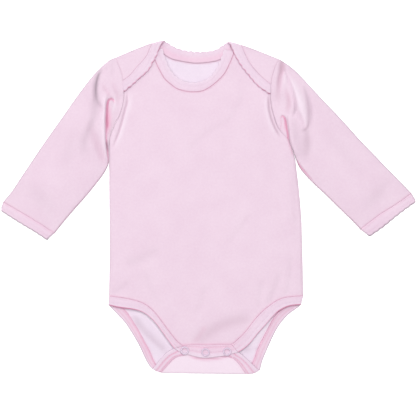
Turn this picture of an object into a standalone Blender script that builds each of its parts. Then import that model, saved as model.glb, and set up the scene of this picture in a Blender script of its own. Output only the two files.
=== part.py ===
"""Baby bodysuit with long sleeves, lapped shoulders and a snap crotch, laid flat with its front up.

Every cloth piece is cut flat and then laid. A cut piece is an outline on the table, scored with a
grid and given its thickness. Laying it turns the shoulder laps and the crotch flap over at their
folds, lifts what lies on another layer, and rolls the side seams down. The sleeves and cuffs are
flattened tubes. Tables are in millimetres from the middle of the garment, with x towards the
wearer's left, y towards the neck and z up from the table. "right" and "left" are the wearer's.
"""

import math
from collections import namedtuple

import bmesh
import bpy
from mathutils import Matrix, Vector

MM = 0.001

# Thickness of the pieces and of the air between them.
CLOTH = 1.1
BINDING = 1.4
SEAM_GAP = 0.4
TUBE_GAP = 0.35
ARMHOLE_GAP = 0.5
UNDERARM_GAP = 1.0
PROUD = 0.3

# Height of the outer face of each layer above the table, where it lies on the layers below.
FRONT_TOP = 2.9
CROTCH_LIFT = 2.1
BODY_CROWN = 1.8
SLEEVE_CROWN = 2.6

# Outer radius of each turned edge.
SHOULDER_BEND = 2.35
CROTCH_BEND = 1.6
HIP_BEND = 1.6
SIDE_ROLL = 2.4
TUBE_EDGE = 2.4

# How far the turned edge at the crotch is drawn in at its corners, and from how far along it.
CORNER_DRAW = 3.6
CORNER_REACH = 13.0

# Where the side seam starts to roll down, and along how much of it.
ROLL_STARTS = 58.0
ROLL_REACH = 18.0

# The least height of a flattened sleeve's upper face.
SLEEVE_LEAST = 2.5

# The picot, a scalloped knit edge.
PICOT_PITCH = 6.5
PICOT_DEPTH = 1.0
PICOT_STEPS = 3

# Ring snaps.
SNAP_DIAMETER = 9.4
SNAP_WIRE = 1.9
SNAP_HEIGHT = 1.5

# Spacing of the grid that each piece is scored with.
PANEL_GRID = 14.0
BINDING_GRID = 10.0
OUTLINE_STEP = 8.0
CURVE_STEP = 4.5
SLEEVE_AROUND = 30
SLEEVE_RINGS = 26
SLEEVE_FADE = 12

# --- Lines on the laid garment, each row one point: x, y -----------------------------------------

SHOULDER_FOLD = {
    "right": [(-47.2, 182.3), (-101.1, 163.9)],
    "left": [(20.6, 181.1), (79.0, 161.2)],
}
SHOULDER_BULGE = {"right": 2.2, "left": 1.8}
CROTCH_FOLD = [(-61.5, -178.9), (55.0, -180.6)]
HIP_FOLD = {
    "right": [(-108.6, -95.6), (-108.6, -105.8)],
    "left": [(102.3, -95.6), (100.2, -105.2)],
}

LAP_SEAM = {
    "right": [
        (-60.4, 177.8), (-63.4, 172.4), (-68.4, 163.3), (-76.8, 154.4), (-84.4, 145.4),
        (-93.1, 138.4),
    ],
    "left": [
        (34.6, 176.4), (38.1, 169.9), (43.0, 160.1), (48.4, 152.4), (56.0, 144.3), (62.6, 138.3),
        (67.7, 134.6),
    ],
}
LAP_EDGE = {
    "right": [
        (-47.2, 182.3), (-52.2, 174.0), (-55.4, 166.2), (-59.8, 158.5), (-63.8, 151.0),
        (-69.8, 144.9), (-76.4, 139.3), (-82.9, 133.2), (-92.3, 125.6),
    ],
    "left": [
        (20.6, 181.1), (24.9, 172.6), (27.4, 166.9), (33.8, 156.1), (38.2, 150.1), (44.7, 142.3),
        (50.2, 135.8), (56.8, 129.8), (67.2, 122.8),
    ],
}
BACK_NECK_SEAM = [
    (-60.4, 177.8), (-54.6, 171.9), (-42.6, 163.7), (-33.4, 160.8), (-14.3, 157.9), (4.9, 159.6),
    (13.8, 162.5), (24.0, 168.8), (34.6, 176.4),
]
BACK_NECK_EDGE = [
    (-47.2, 182.3), (-38.6, 175.6), (-30.1, 171.7), (-20.6, 169.5), (-10.0, 168.7), (2.0, 169.7),
    (9.0, 171.9), (14.2, 175.6), (20.6, 181.1),
]
FRONT_NECK_SEAM = [
    (-61.2, 170.0), (-57.0, 158.0), (-48.5, 142.0), (-41.0, 134.9), (-32.8, 129.3), (-16.8, 126.4),
    (-2.3, 129.4), (14.4, 142.8), (22.4, 156.0), (28.0, 170.0),
]
FRONT_NECK_EDGE = [
    (-49.6, 173.8), (-47.8, 166.3), (-41.4, 151.2), (-31.4, 140.9), (-16.8, 136.8), (-2.0, 140.8),
    (7.4, 150.4), (13.9, 164.6), (16.8, 173.2),
]
ARMHOLE = {
    "right": [
        (-101.1, 163.9), (-99.2, 158.0), (-95.0, 147.6), (-93.1, 138.4), (-92.0, 125.0),
        (-93.2, 113.2), (-96.6, 101.6), (-102.0, 91.4), (-108.3, 75.2),
    ],
    "left": [
        (79.0, 161.2), (74.4, 157.6), (70.3, 146.4), (67.7, 134.6), (67.2, 123.6), (67.8, 115.2),
        (70.0, 103.6), (75.8, 87.5), (86.7, 75.2),
    ],
}
LAP_ROWS = 4
SIDE_SEAM = {
    "right": [
        (-108.3, 75.2), (-108.4, 47.3), (-108.4, 19.4), (-108.0, -13.6), (-107.8, -53.2),
        (-108.6, -95.6),
    ],
    "left": [
        (86.7, 75.2), (91.9, 55.4), (97.4, 23.6), (100.4, -13.6), (101.2, -40.0), (102.3, -95.6),
    ],
}
FRONT_LEG_SEAM = {
    "right": [
        (-108.6, -95.6), (-96.4, -97.2), (-85.5, -99.1), (-76.8, -101.3), (-68.1, -105.1),
        (-61.6, -110.3), (-55.0, -117.6), (-48.5, -126.3), (-35.4, -143.4), (-27.6, -149.6),
    ],
    "left": [
        (102.3, -95.6), (88.7, -96.6), (80.0, -98.2), (72.4, -101.8), (64.7, -107.3),
        (58.0, -112.9), (50.6, -120.9), (39.5, -135.2), (32.1, -142.4), (25.3, -148.4),
    ],
}
FRONT_LEG_EDGE = {
    "right": [
        (-108.6, -105.8), (-98.6, -108.2), (-82.3, -110.4), (-74.6, -112.2), (-68.1, -115.4),
        (-61.6, -120.9), (-55.0, -128.5), (-44.2, -143.7), (-37.1, -152.8),
    ],
    "left": [
        (100.2, -105.2), (88.7, -106.7), (80.0, -110.0), (72.4, -115.4), (62.6, -126.3),
        (53.8, -136.1), (45.1, -147.0), (37.5, -153.5), (32.1, -156.8),
    ],
}
BACK_LEG_SEAM = {
    "right": [
        (-108.6, -95.6), (-99.2, -104.0), (-90.0, -113.0), (-78.2, -130.6), (-69.2, -147.6),
        (-64.6, -155.9), (-59.4, -168.5), (-52.0, -179.0),
    ],
    "left": [
        (102.3, -95.6), (91.6, -102.6), (82.0, -108.6), (75.0, -114.6), (69.6, -122.6),
        (64.2, -132.8), (54.2, -152.6), (49.4, -166.0), (41.0, -180.4),
    ],
}
BACK_LEG_EDGE = {
    "right": [
        (-108.6, -105.8), (-98.5, -116.3), (-89.1, -127.0), (-76.5, -148.6), (-67.3, -169.0),
        (-61.5, -178.9),
    ],
    "left": [
        (100.2, -105.2), (95.0, -109.0), (86.3, -115.3), (78.6, -124.0), (71.5, -134.9),
        (62.1, -155.4), (57.2, -169.2), (55.0, -180.6),
    ],
}
FLAP_SEAM = {
    "right": [
        (-52.0, -179.0), (-45.2, -172.0), (-38.7, -165.2), (-33.3, -161.7), (-25.0, -159.0),
        (-20.0, -145.0),
    ],
    "left": [
        (41.0, -180.4), (36.5, -174.6), (32.1, -168.6), (26.6, -163.6), (19.6, -160.4),
        (17.0, -145.0),
    ],
}
FLAP_EDGE = {
    "right": [
        (-61.5, -178.9), (-57.2, -171.4), (-52.9, -165.4), (-46.3, -158.4), (-40.9, -154.6),
        (-35.4, -151.2), (-29.6, -144.0),
    ],
    "left": [
        (55.0, -180.6), (50.6, -173.6), (45.1, -167.7), (38.6, -161.7), (32.1, -155.6),
        (27.0, -145.0),
    ],
}
PLACKET_SEAM = [(-27.6, -149.6), (-14.0, -148.6), (-2.4, -149.0), (10.0, -148.6), (25.3, -148.4)]
PLACKET_EDGE = [
    (-37.1, -152.8), (-30.0, -155.9), (-21.8, -158.4), (-14.8, -161.0), (-8.0, -162.6),
    (-1.7, -163.0), (7.0, -162.0), (16.8, -160.6), (32.1, -156.8),
]
SNAP_PLACES = [(-26.0, -154.8), (-3.3, -156.8), (20.1, -156.0)]

SLEEVE_OUTER = {
    "right": [
        (-101.1, 163.9), (-108.7, 160.7), (-122.9, 147.7), (-135.4, 132.3), (-146.0, 118.0),
        (-159.3, 98.9), (-172.0, 81.0), (-183.1, 65.0), (-205.2, 32.1), (-214.2, 18.5),
        (-224.0, 6.6),
    ],
    "left": [
        (79.0, 161.2), (90.2, 152.7), (101.8, 142.0), (122.0, 120.2), (144.1, 97.0), (165.2, 73.8),
        (176.8, 61.9), (188.5, 49.4), (204.4, 32.4), (220.9, 15.7),
    ],
}
SLEEVE_INNER = {
    "right": [
        (-108.9, 75.2), (-109.9, 62.6), (-109.7, 50.4), (-114.0, 38.8), (-124.1, 25.3),
        (-134.8, 12.2), (-146.2, -0.7), (-157.8, -14.3), (-167.6, -27.0),
    ],
    "left": [
        (87.3, 74.8), (91.2, 63.6), (95.6, 52.8), (101.0, 40.5), (116.4, 24.9), (126.5, 15.5),
        (136.7, 5.5), (147.4, -5.0), (157.8, -15.1), (165.6, -23.4),
    ],
}
CUFF_SEAM = {
    "right": [(-224.0, 6.6), (-193.6, -11.0), (-167.6, -27.0)],
    "left": [(220.9, 15.7), (203.6, 3.6), (187.3, -6.6), (172.2, -17.9), (165.6, -23.4)],
}
CUFF_EDGE = {
    "right": [(-226.9, -2.4), (-215.0, -10.2), (-202.7, -17.9), (-189.6, -25.6), (-177.5, -33.9)],
    "left": [(224.4, 7.3), (213.1, -1.3), (201.9, -10.2), (190.0, -20.0), (175.6, -30.2)],
}
CUFF_PICOTS = 9

# --- Creases: a run from start through middle to end, and how high and how wide it stands. --------
# A negative height is a valley. The two widths are those of the sides towards the garment's outer
# edge and towards its middle, so that a fold which drops sharply on one side can be given.

Crease = namedtuple("Crease", "start middle end height outer_width inner_width")

SLEEVE_CREASES = {
    "right": [
        Crease((-113.0, 118.0), (-113.0, 92.0), (-111.5, 58.0), 2.3, 8.0, 1.8),
        Crease((-118.0, 148.0), (-124.5, 128.0), (-123.5, 108.0), -2.6, 3.5, 3.5),
        Crease((-123.5, 115.0), (-125.0, 94.0), (-136.0, 64.0), -1.8, 4.0, 4.0),
        Crease((-122.0, 119.0), (-119.5, 112.0), (-117.0, 105.0), -1.5, 3.0, 3.0),
        Crease((-115.5, 138.0), (-111.5, 129.0), (-106.5, 121.0), -1.4, 3.0, 3.0),
        Crease((-126.0, 88.0), (-121.0, 74.0), (-115.0, 56.0), -1.6, 4.0, 4.0),
        Crease((-143.0, 82.0), (-152.0, 57.0), (-158.0, 38.0), -0.8, 9.0, 9.0),
        Crease((-192.0, 22.0), (-181.0, 8.0), (-168.0, -8.0), -0.8, 9.0, 9.0),
    ],
    "left": [
        Crease((87.5, 102.0), (90.0, 80.0), (96.5, 57.0), 2.3, 8.0, 1.8),
        Crease((80.5, 160.0), (77.0, 142.0), (75.5, 120.0), -2.0, 3.5, 3.5),
        Crease((88.0, 147.0), (98.0, 122.0), (107.0, 89.0), 2.6, 4.5, 4.0),
        Crease((86.0, 142.0), (92.0, 124.0), (104.5, 88.0), -1.8, 3.0, 3.5),
        Crease((106.5, 127.0), (114.0, 104.0), (106.5, 84.0), -2.0, 4.0, 3.0),
        Crease((107.0, 83.0), (108.0, 72.0), (107.5, 60.0), -1.3, 4.0, 4.0),
        Crease((85.5, 129.0), (92.0, 112.0), (82.5, 101.0), -1.5, 3.0, 3.0),
        Crease((128.0, 82.0), (150.0, 58.0), (170.0, 34.0), -0.6, 7.0, 7.0),
        Crease((196.0, 28.0), (186.0, 14.0), (172.0, 0.0), -0.8, 7.0, 7.0),
    ],
}
BODY_CREASES = [
    Crease((40.0, 131.0), (20.0, 90.0), (-25.0, 57.0), -0.5, 4.0, 4.0),
    Crease((46.0, -5.0), (35.0, -22.0), (22.0, -39.0), -0.5, 4.0, 4.0),
    Crease((-91.0, -61.0), (-77.0, -60.0), (-53.0, -46.0), -0.9, 6.0, 6.0),
    Crease((-105.0, -93.0), (-96.0, -88.0), (-85.0, -80.0), -0.8, 4.0, 4.0),
    Crease((78.0, -68.0), (72.0, -87.0), (64.0, -106.0), -0.9, 4.0, 4.0),
    Crease((-16.0, -147.0), (4.0, -127.0), (47.0, -119.0), -1.0, 6.0, 7.0),
]

# --- Curves and heights --------------------------------------------------------------------------


def smooth_curve(points, step):
    """Points about one step apart on a smooth curve through the given ones, both ends kept."""
    knots = [Vector(points[0])] + [Vector(p) for p in points] + [Vector(points[-1])]
    curve = []
    for before, here, there, after in zip(knots, knots[1:], knots[2:], knots[3:]):
        pieces = max(1, round((there - here).length / step))
        for i in range(pieces):
            t = i / pieces
            bend = (2 * before - 5 * here + 4 * there - after) * t * t
            cubic = (3 * here - before - 3 * there + after) * t * t * t
            curve.append(here + ((there - before) * t + bend + cubic) / 2)
    return curve + [Vector(points[-1])]


def point_along(points, share):
    """The point that lies this share of the way along a chain of points."""
    lengths = [(b - a).length for a, b in zip(points, points[1:])]
    left = share * sum(lengths)
    for start, end, length in zip(points, points[1:], lengths):
        if left <= length:
            return start.lerp(end, left / length)
        left -= length
    return points[-1].copy()


def ramp(start, end, value):
    """0 before start, 1 after end, and a smooth rise between them."""
    share = min(max((value - start) / (end - start), 0.0), 1.0)
    return share * share * (3 - 2 * share)


def crease_height(creases, x, y):
    """How much the creases raise or lower the cloth at this place."""
    total = 0.0
    place = Vector((x, y))
    for crease in creases:
        ends = Vector(crease.start), Vector(crease.middle), Vector(crease.end)
        best, best_share = 1e9, 0.0
        for i in range(17):
            share = i / 16
            on_curve = ends[0].lerp(ends[1], share).lerp(ends[1].lerp(ends[2], share), share)
            if (on_curve - place).length < best:
                best, best_share, nearest = (on_curve - place).length, share, on_curve
        outwards = abs(x) > abs(nearest.x)
        width = crease.outer_width if outwards else crease.inner_width
        taper = ramp(-0.05, 0.3, best_share) * ramp(1.05, 0.7, best_share)
        total += crease.height * taper * math.exp(-((best / width) ** 2))
    return total


def front_height(x, y):
    """Height of the front panel's outer face."""
    crown = BODY_CROWN * max(0.0, 1 - ((x + 3) / 108) ** 4) * ramp(150, 90, y) * ramp(-150, -95, y)
    lift = CROTCH_LIFT * ramp(-92, -140, y)
    return FRONT_TOP + crown + lift + crease_height(BODY_CREASES, x, y)


def front_rise(x, y):
    """How far the front panel lifts what lies on it above its plain height."""
    return max(0.0, front_height(x, y) - FRONT_TOP)


def no_rise(x, y):
    """What lies on the flat back is lifted no further."""
    return 0.0


# --- Folds ---------------------------------------------------------------------------------------


class Fold:
    """A straight turned edge, where the cloth beyond it comes back over the cloth inside it."""

    def __init__(self, ends, radius, rise, bulge=0.0, draw=0.0, margin=12.0):
        self.start = Vector(ends[0])
        self.run = (Vector(ends[1]) - self.start).normalized()
        self.length = (Vector(ends[1]) - self.start).length
        self.out = Vector((-self.run.y, self.run.x))
        if self.out.dot(self.start) < 0:
            self.out.negate()
        self.radius = radius
        self.rise = rise
        self.bulge = bulge
        self.draw = draw
        self.margin = margin

    def measure(self, x, y):
        """How far along the fold a place is, and how far beyond it."""
        arm = Vector((x, y)) - self.start
        return arm.dot(self.run), arm.dot(self.out)

    def takes(self, x, y):
        """Whether a place on the flat cloth is turned by this fold."""
        along, beyond = self.measure(x, y)
        return -self.margin < along < self.length + self.margin and beyond > -self.radius

    def unfold(self, points):
        """Where points that lie on the turned part are on the flat cloth."""
        flat = []
        for point in points:
            inside = -self.measure(point.x, point.y)[1]
            flat.append(point + self.out * (2 * inside + (math.pi - 2) * self.radius))
        return flat

    def lay(self, x, y, depth, proud):
        """A place on the flat cloth, this deep below its outer face, once the fold is made."""
        along, beyond = self.measure(x, y)
        bend = beyond + self.radius
        turn = min(bend / self.radius, math.pi)
        past_bend = max(bend - math.pi * self.radius, 0.0)
        reach = (self.radius - depth) * math.sin(turn) - self.radius - past_bend
        foot = self.start + self.run * along + self.out * reach
        lift = (self.rise(foot.x, foot.y) + proud) * turn / math.pi
        return foot.x, foot.y, self.radius - (self.radius - depth) * math.cos(turn) + lift

    def round_out(self, x, y):
        """The soft bulge of the turned edge, less what its corners are drawn in, as a move in plan."""
        along, beyond = self.measure(x, y)
        share = min(max(along / self.length, 0.0), 1.0)
        from_corner = min(share, 1 - share) * self.length
        move = self.bulge * math.sin(math.pi * share**0.6)
        move -= self.draw * max(0.0, 1 - from_corner / CORNER_REACH) ** 2
        return self.out * (move * math.exp(-abs(beyond) / 8))

    def score_lines(self):
        """Lines on the flat cloth that the bend needs: where it starts, its quarters and its end."""
        quarter = math.pi * self.radius / 4
        return [self.start + self.out * (i * quarter - self.radius) for i in range(5)]


SHOULDERS = {
    side: Fold(ends, SHOULDER_BEND, front_rise, SHOULDER_BULGE[side])
    for side, ends in SHOULDER_FOLD.items()
}
CROTCH = Fold(CROTCH_FOLD, CROTCH_BEND, no_rise, draw=CORNER_DRAW)
HIPS = {side: Fold(ends, HIP_BEND, front_rise, margin=90.0) for side, ends in HIP_FOLD.items()}


def bulged(x, y):
    """A laid place, moved by the soft bulge of the shoulders and the drawn corners of the crotch."""
    place = Vector((x, y))
    for fold in (*SHOULDERS.values(), CROTCH):
        place += fold.round_out(x, y)
    return place


def lay_on_table(folds, proud=0.0):
    """How a piece that starts on the table is laid, with its own folds."""

    def lay(x, y, depth):
        for fold in folds:
            if fold.takes(x, y):
                x, y, depth = fold.lay(x, y, depth, proud)
                break
        place = bulged(x, y)
        return place.x, place.y, depth

    return lay


SIDE_LINES = {side: smooth_curve(rows, 20) for side, rows in SIDE_SEAM.items()}


def side_x(side, y):
    """Where the side seam is at this height on the body."""
    line = SIDE_LINES[side]
    for upper, lower in zip(line, line[1:]):
        if y >= lower.y:
            return upper.lerp(lower, max(0.0, (upper.y - y) / (upper.y - lower.y))).x
    return line[-1].x


def roll_share(y):
    """How fully the side seam rolls down here: not at all at the underarm, then all the way."""
    return ramp(ROLL_STARTS, ROLL_STARTS - ROLL_REACH, y)


def lay_front(proud=0.0):
    """How the front panel and what edges it are laid, over the back and rolled down at the sides."""

    def lay(x, y, depth):
        height = front_height(x, y) + proud
        side = "right" if x < 0 else "left"
        edge = abs(side_x(side, y))
        bend = abs(x) - edge + SIDE_ROLL
        if bend <= 0 or y > SIDE_SEAM[side][0][1] or y < SIDE_SEAM[side][-1][1]:
            place = bulged(x, y)
            return place.x, place.y, height - depth
        turn = min(bend / SIDE_ROLL, math.pi / 2)
        flat = Vector((abs(x), y, height - depth))
        rolled = Vector((edge - SIDE_ROLL, y, height - SIDE_ROLL))
        rolled += Vector((math.sin(turn), 0, math.cos(turn))) * (SIDE_ROLL - depth)
        place = flat.lerp(rolled, roll_share(y))
        return math.copysign(place.x, x), y, place.z

    return lay


# --- Making the pieces ---------------------------------------------------------------------------


def add_piece(name, bm, colour, roughness):
    """The finished mesh as an object with its own material."""
    bmesh.ops.recalc_face_normals(bm, faces=bm.faces)
    if bm.calc_volume(signed=True) < 0:
        bmesh.ops.reverse_faces(bm, faces=bm.faces)
    mesh = bpy.data.meshes.new(name)
    bm.to_mesh(mesh)
    bm.free()
    material = bpy.data.materials.new(name)
    material.use_nodes = True
    surface = material.node_tree.nodes["Principled BSDF"]
    surface.inputs["Base Color"].default_value = (*colour, 1)
    surface.inputs["Roughness"].default_value = roughness
    mesh.materials.append(material)
    mesh.shade_smooth()
    mesh.set_sharp_from_angle(angle=math.radians(40))
    bpy.context.scene.collection.objects.link(bpy.data.objects.new(name, mesh))


def score(bm, point, normal, faces):
    """Cuts a straight line across some of the faces."""
    edges = {edge for face in faces for edge in face.edges}
    corners = {corner for face in faces for corner in face.verts}
    geometry = [*corners, *edges, *faces]
    bmesh.ops.bisect_plane(bm, geom=geometry, dist=0.02, plane_co=(*point, 0), plane_no=(*normal, 0))


def inset_rim(bm, width):
    """Parts a rim of this width from the inside of the largest face, and gives the rim's faces."""
    bm.normal_update()
    whole = max(bm.faces, key=lambda face: face.calc_area())
    rim = bmesh.ops.inset_region(
        bm, faces=[whole], thickness=width, use_boundary=True, use_even_offset=True
    )
    return rim["faces"]


def cut_cloth(outline, grid, thickness, folds=(), rims=()):
    """A flat solid piece with the outline given, scored where it bends. A corner's z is its depth."""
    bm = bmesh.new()
    bm.faces.new([bm.verts.new((*point, 0)) for point in outline])
    trimmed = inset_rim(bm, SEAM_GAP / 2)
    bmesh.ops.delete(bm, geom=trimmed, context="FACES")
    for rim in rims:
        inset_rim(bm, rim)
    for axis in (Vector((1, 0)), Vector((0, 1))):
        places = [Vector(corner.co.xy).dot(axis) for corner in bm.verts]
        for i in range(math.ceil(min(places) / grid), math.ceil(max(places) / grid)):
            score(bm, axis * i * grid, axis, bm.faces[:])
    for fold in folds:
        for line in fold.score_lines():
            near = [face for face in bm.faces if near_fold(fold, face)]
            score(bm, line, fold.out, near)
    skin = bmesh.ops.extrude_face_region(bm, geom=bm.faces[:])
    raised = [item for item in skin["geom"] if isinstance(item, bmesh.types.BMVert)]
    bmesh.ops.translate(bm, verts=raised, vec=(0, 0, thickness))
    return bm


def near_fold(fold, face):
    """Whether a face is close enough to a fold for its lines to cross it."""
    centre = face.calc_center_median()
    along, beyond = fold.measure(centre.x, centre.y)
    return -25 < along < fold.length + 25 and abs(beyond) < 40


def lay_out(bm, lay):
    """Moves every corner of a cut piece to where it lies, in metres."""
    for corner in bm.verts:
        corner.co = Vector(lay(*corner.co)) * MM


def picot(points):
    """A chain of points as a scalloped edge, one knit scallop for each pitch of its length."""
    length = sum((b - a).length for a, b in zip(points, points[1:]))
    scallops = round(length / PICOT_PITCH)
    edge = []
    for i in range(scallops * PICOT_STEPS + 1):
        share = i / (scallops * PICOT_STEPS)
        here = point_along(points, share)
        ahead = point_along(points, min(share + 0.01, 1.0)) - point_along(points, max(share - 0.01, 0.0))
        outwards = Vector((-ahead.y, ahead.x)).normalized()
        edge.append(here + outwards * PICOT_DEPTH * (abs(math.sin(math.pi * i / PICOT_STEPS)) - 1))
    return edge


def joined(*chains):
    """Chains of points end to end, without the points that they share."""
    outline = []
    for chain in chains:
        for point in chain:
            if not outline or (point - outline[-1]).length > 0.3:
                outline.append(point)
    if (outline[0] - outline[-1]).length < 0.3:
        outline.pop()
    return outline


def seam(points, step=OUTLINE_STEP):
    return smooth_curve(points, step)


def backwards(points):
    return list(reversed(points))


def build_back_panel():
    """The whole back: body, the shoulder laps turned over the front, and the crotch flap turned up."""
    halves = {}
    for side in ("right", "left"):
        shoulder = SHOULDERS[side]
        armhole = seam(ARMHOLE[side], CURVE_STEP)
        lap_end = seam(ARMHOLE[side][:LAP_ROWS], CURVE_STEP)
        inset = math.copysign(SIDE_ROLL - CLOTH + SEAM_GAP, ARMHOLE[side][0][0])
        side_line = [p - Vector((inset * roll_share(p.y - 10), 0)) for p in SIDE_LINES[side]]
        halves[side] = [
            shoulder.unfold(seam(LAP_SEAM[side])),
            shoulder.unfold(backwards(lap_end)),
            armhole[:-1],
            side_line,
            seam(BACK_LEG_SEAM[side])[1:],
            CROTCH.unfold(seam(FLAP_SEAM[side])),
        ]
    right = joined(*halves["right"])
    left = joined(*halves["left"])
    outline = joined(seam(BACK_NECK_SEAM), left, backwards(right))
    folds = [*SHOULDERS.values(), CROTCH]
    bm = cut_cloth(outline, PANEL_GRID, CLOTH, folds)
    lay_out(bm, lay_on_table(folds))
    add_piece("back_panel", bm, (0.86, 0.70, 0.82), 0.9)


def build_front_panel():
    """The front, from under the shoulder laps down to the placket."""
    halves = {}
    for side in ("right", "left"):
        neck = Vector(FRONT_NECK_SEAM[0 if side == "right" else -1])
        armhole = seam(ARMHOLE[side], CURVE_STEP)
        below_fold = [p for p in armhole if SHOULDERS[side].measure(p.x, p.y)[1] < -SHOULDER_BEND - 2]
        extra = math.copysign(SIDE_ROLL * (math.pi / 2 - 1), ARMHOLE[side][0][0])
        side_line = [p + Vector((extra * roll_share(p.y), 0)) for p in SIDE_LINES[side]]
        halves[side] = joined([neck], below_fold[:-1], side_line, seam(FRONT_LEG_SEAM[side]))
    hem = backwards(seam(PLACKET_SEAM))
    outline = joined(seam(FRONT_NECK_SEAM), halves["left"], hem, backwards(halves["right"]))
    bm = cut_cloth(outline, PANEL_GRID, CLOTH, rims=(SIDE_ROLL * 0.75, SIDE_ROLL * 0.75))
    lay_out(bm, lay_front())
    add_piece("front_panel", bm, (0.87, 0.70, 0.82), 0.9)


def build_front_neck_binding():
    """The scalloped strip round the front of the neck, whose ends are under the laps."""
    outline = joined(seam(FRONT_NECK_SEAM), picot(backwards(seam(FRONT_NECK_EDGE, 3))))
    bm = cut_cloth(outline, BINDING_GRID, BINDING)
    lay_out(bm, lay_front(PROUD))
    add_piece("front_neck_binding", bm, (0.87, 0.68, 0.81), 0.9)


def build_back_neck_binding():
    """One scalloped strip: up one lap, round the back of the neck and down the other lap."""
    right, left = SHOULDERS["right"], SHOULDERS["left"]
    seam_line = joined(
        backwards(right.unfold(seam(LAP_SEAM["right"]))),
        seam(BACK_NECK_SEAM),
        left.unfold(seam(LAP_SEAM["left"])),
    )
    edge_line = joined(
        backwards(right.unfold(seam(LAP_EDGE["right"], 3))),
        seam(BACK_NECK_EDGE, 3),
        left.unfold(seam(LAP_EDGE["left"], 3)),
    )
    outline = joined(seam_line, picot(backwards(edge_line)))
    folds = [right, left]
    bm = cut_cloth(outline, BINDING_GRID, BINDING, folds)
    lay_out(bm, lay_on_table(folds, PROUD))
    add_piece("back_neck_binding", bm, (0.86, 0.67, 0.81), 0.9)


def build_leg_binding(side):
    """One strip round a leg: along the front, round the hip, down the back and up the flap."""
    hip = HIPS[side]
    seam_line = joined(
        backwards(hip.unfold(seam(FRONT_LEG_SEAM[side]))),
        seam(BACK_LEG_SEAM[side]),
        CROTCH.unfold(seam(FLAP_SEAM[side])),
    )
    edge_line = joined(
        backwards(hip.unfold(seam(FRONT_LEG_EDGE[side]))),
        seam(BACK_LEG_EDGE[side]),
        CROTCH.unfold(seam(FLAP_EDGE[side])),
    )
    folds = [hip, CROTCH]
    bm = cut_cloth(joined(seam_line, backwards(edge_line)), BINDING_GRID, BINDING, folds)
    lay_out(bm, lay_on_table(folds, PROUD))
    add_piece(f"leg_binding_{side}", bm, (0.86, 0.67, 0.80), 0.9)


def build_front_placket():
    """The strip that ends the front at the crotch and carries the snaps."""
    outline = joined(seam(PLACKET_SEAM), backwards(seam(PLACKET_EDGE)))
    bm = cut_cloth(outline, BINDING_GRID, BINDING)
    lay_out(bm, lay_front(PROUD))
    add_piece("front_placket", bm, (0.87, 0.66, 0.80), 0.9)


def build_snap(number, place):
    """A closed ring snap, lying on the placket."""
    bm = bmesh.new()
    ring = bmesh.ops.create_circle(bm, segments=6, radius=SNAP_WIRE / 2)
    bmesh.ops.rotate(bm, verts=ring["verts"], cent=(0, 0, 0), matrix=Matrix.Rotation(math.pi / 2, 3, "X"))
    bmesh.ops.scale(bm, verts=ring["verts"], vec=(1, 1, SNAP_HEIGHT / SNAP_WIRE))
    bmesh.ops.translate(bm, verts=ring["verts"], vec=((SNAP_DIAMETER - SNAP_WIRE) / 2, 0, 0))
    bmesh.ops.spin(
        bm, geom=bm.edges[:], cent=(0, 0, 0), axis=(0, 0, 1), angle=2 * math.pi, steps=16, use_merge=True
    )
    height = front_height(*place) + PROUD + SEAM_GAP + SNAP_HEIGHT / 2
    bmesh.ops.translate(bm, verts=bm.verts, vec=(*place, height))
    bmesh.ops.scale(bm, verts=bm.verts, vec=(MM, MM, MM))
    add_piece(f"snap_{number}", bm, (0.78, 0.68, 0.76), 0.35)


# --- Tubes ---------------------------------------------------------------------------------------


class Patch:
    """A stretch of table between four curves: a near end, a far end, an outer and an inner edge.

    fade is how fast the lines across it lose the bow of its ends, 1 for evenly all the way.
    """

    def __init__(self, near, far, outer, inner, fade=1):
        self.fade = fade
        self.near = seam(near, 2)
        self.far = seam(far, 2)
        self.outer = seam(outer, 2)
        self.inner = seam(inner, 2)
        self.length = sum((b - a).length for a, b in zip(self.outer, self.outer[1:]))

    def at(self, along, across):
        """The place this share along from the near end and this share across from the outer edge."""
        near_bow = point_along(self.near, across) - self.near[0].lerp(self.near[-1], across)
        far_bow = point_along(self.far, across) - self.far[0].lerp(self.far[-1], across)
        straight = point_along(self.outer, along).lerp(point_along(self.inner, along), across)
        return straight + near_bow * (1 - along) ** self.fade + far_bow * along**self.fade

    def width(self, along):
        return (self.at(along, 0) - self.at(along, 1)).length


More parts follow.
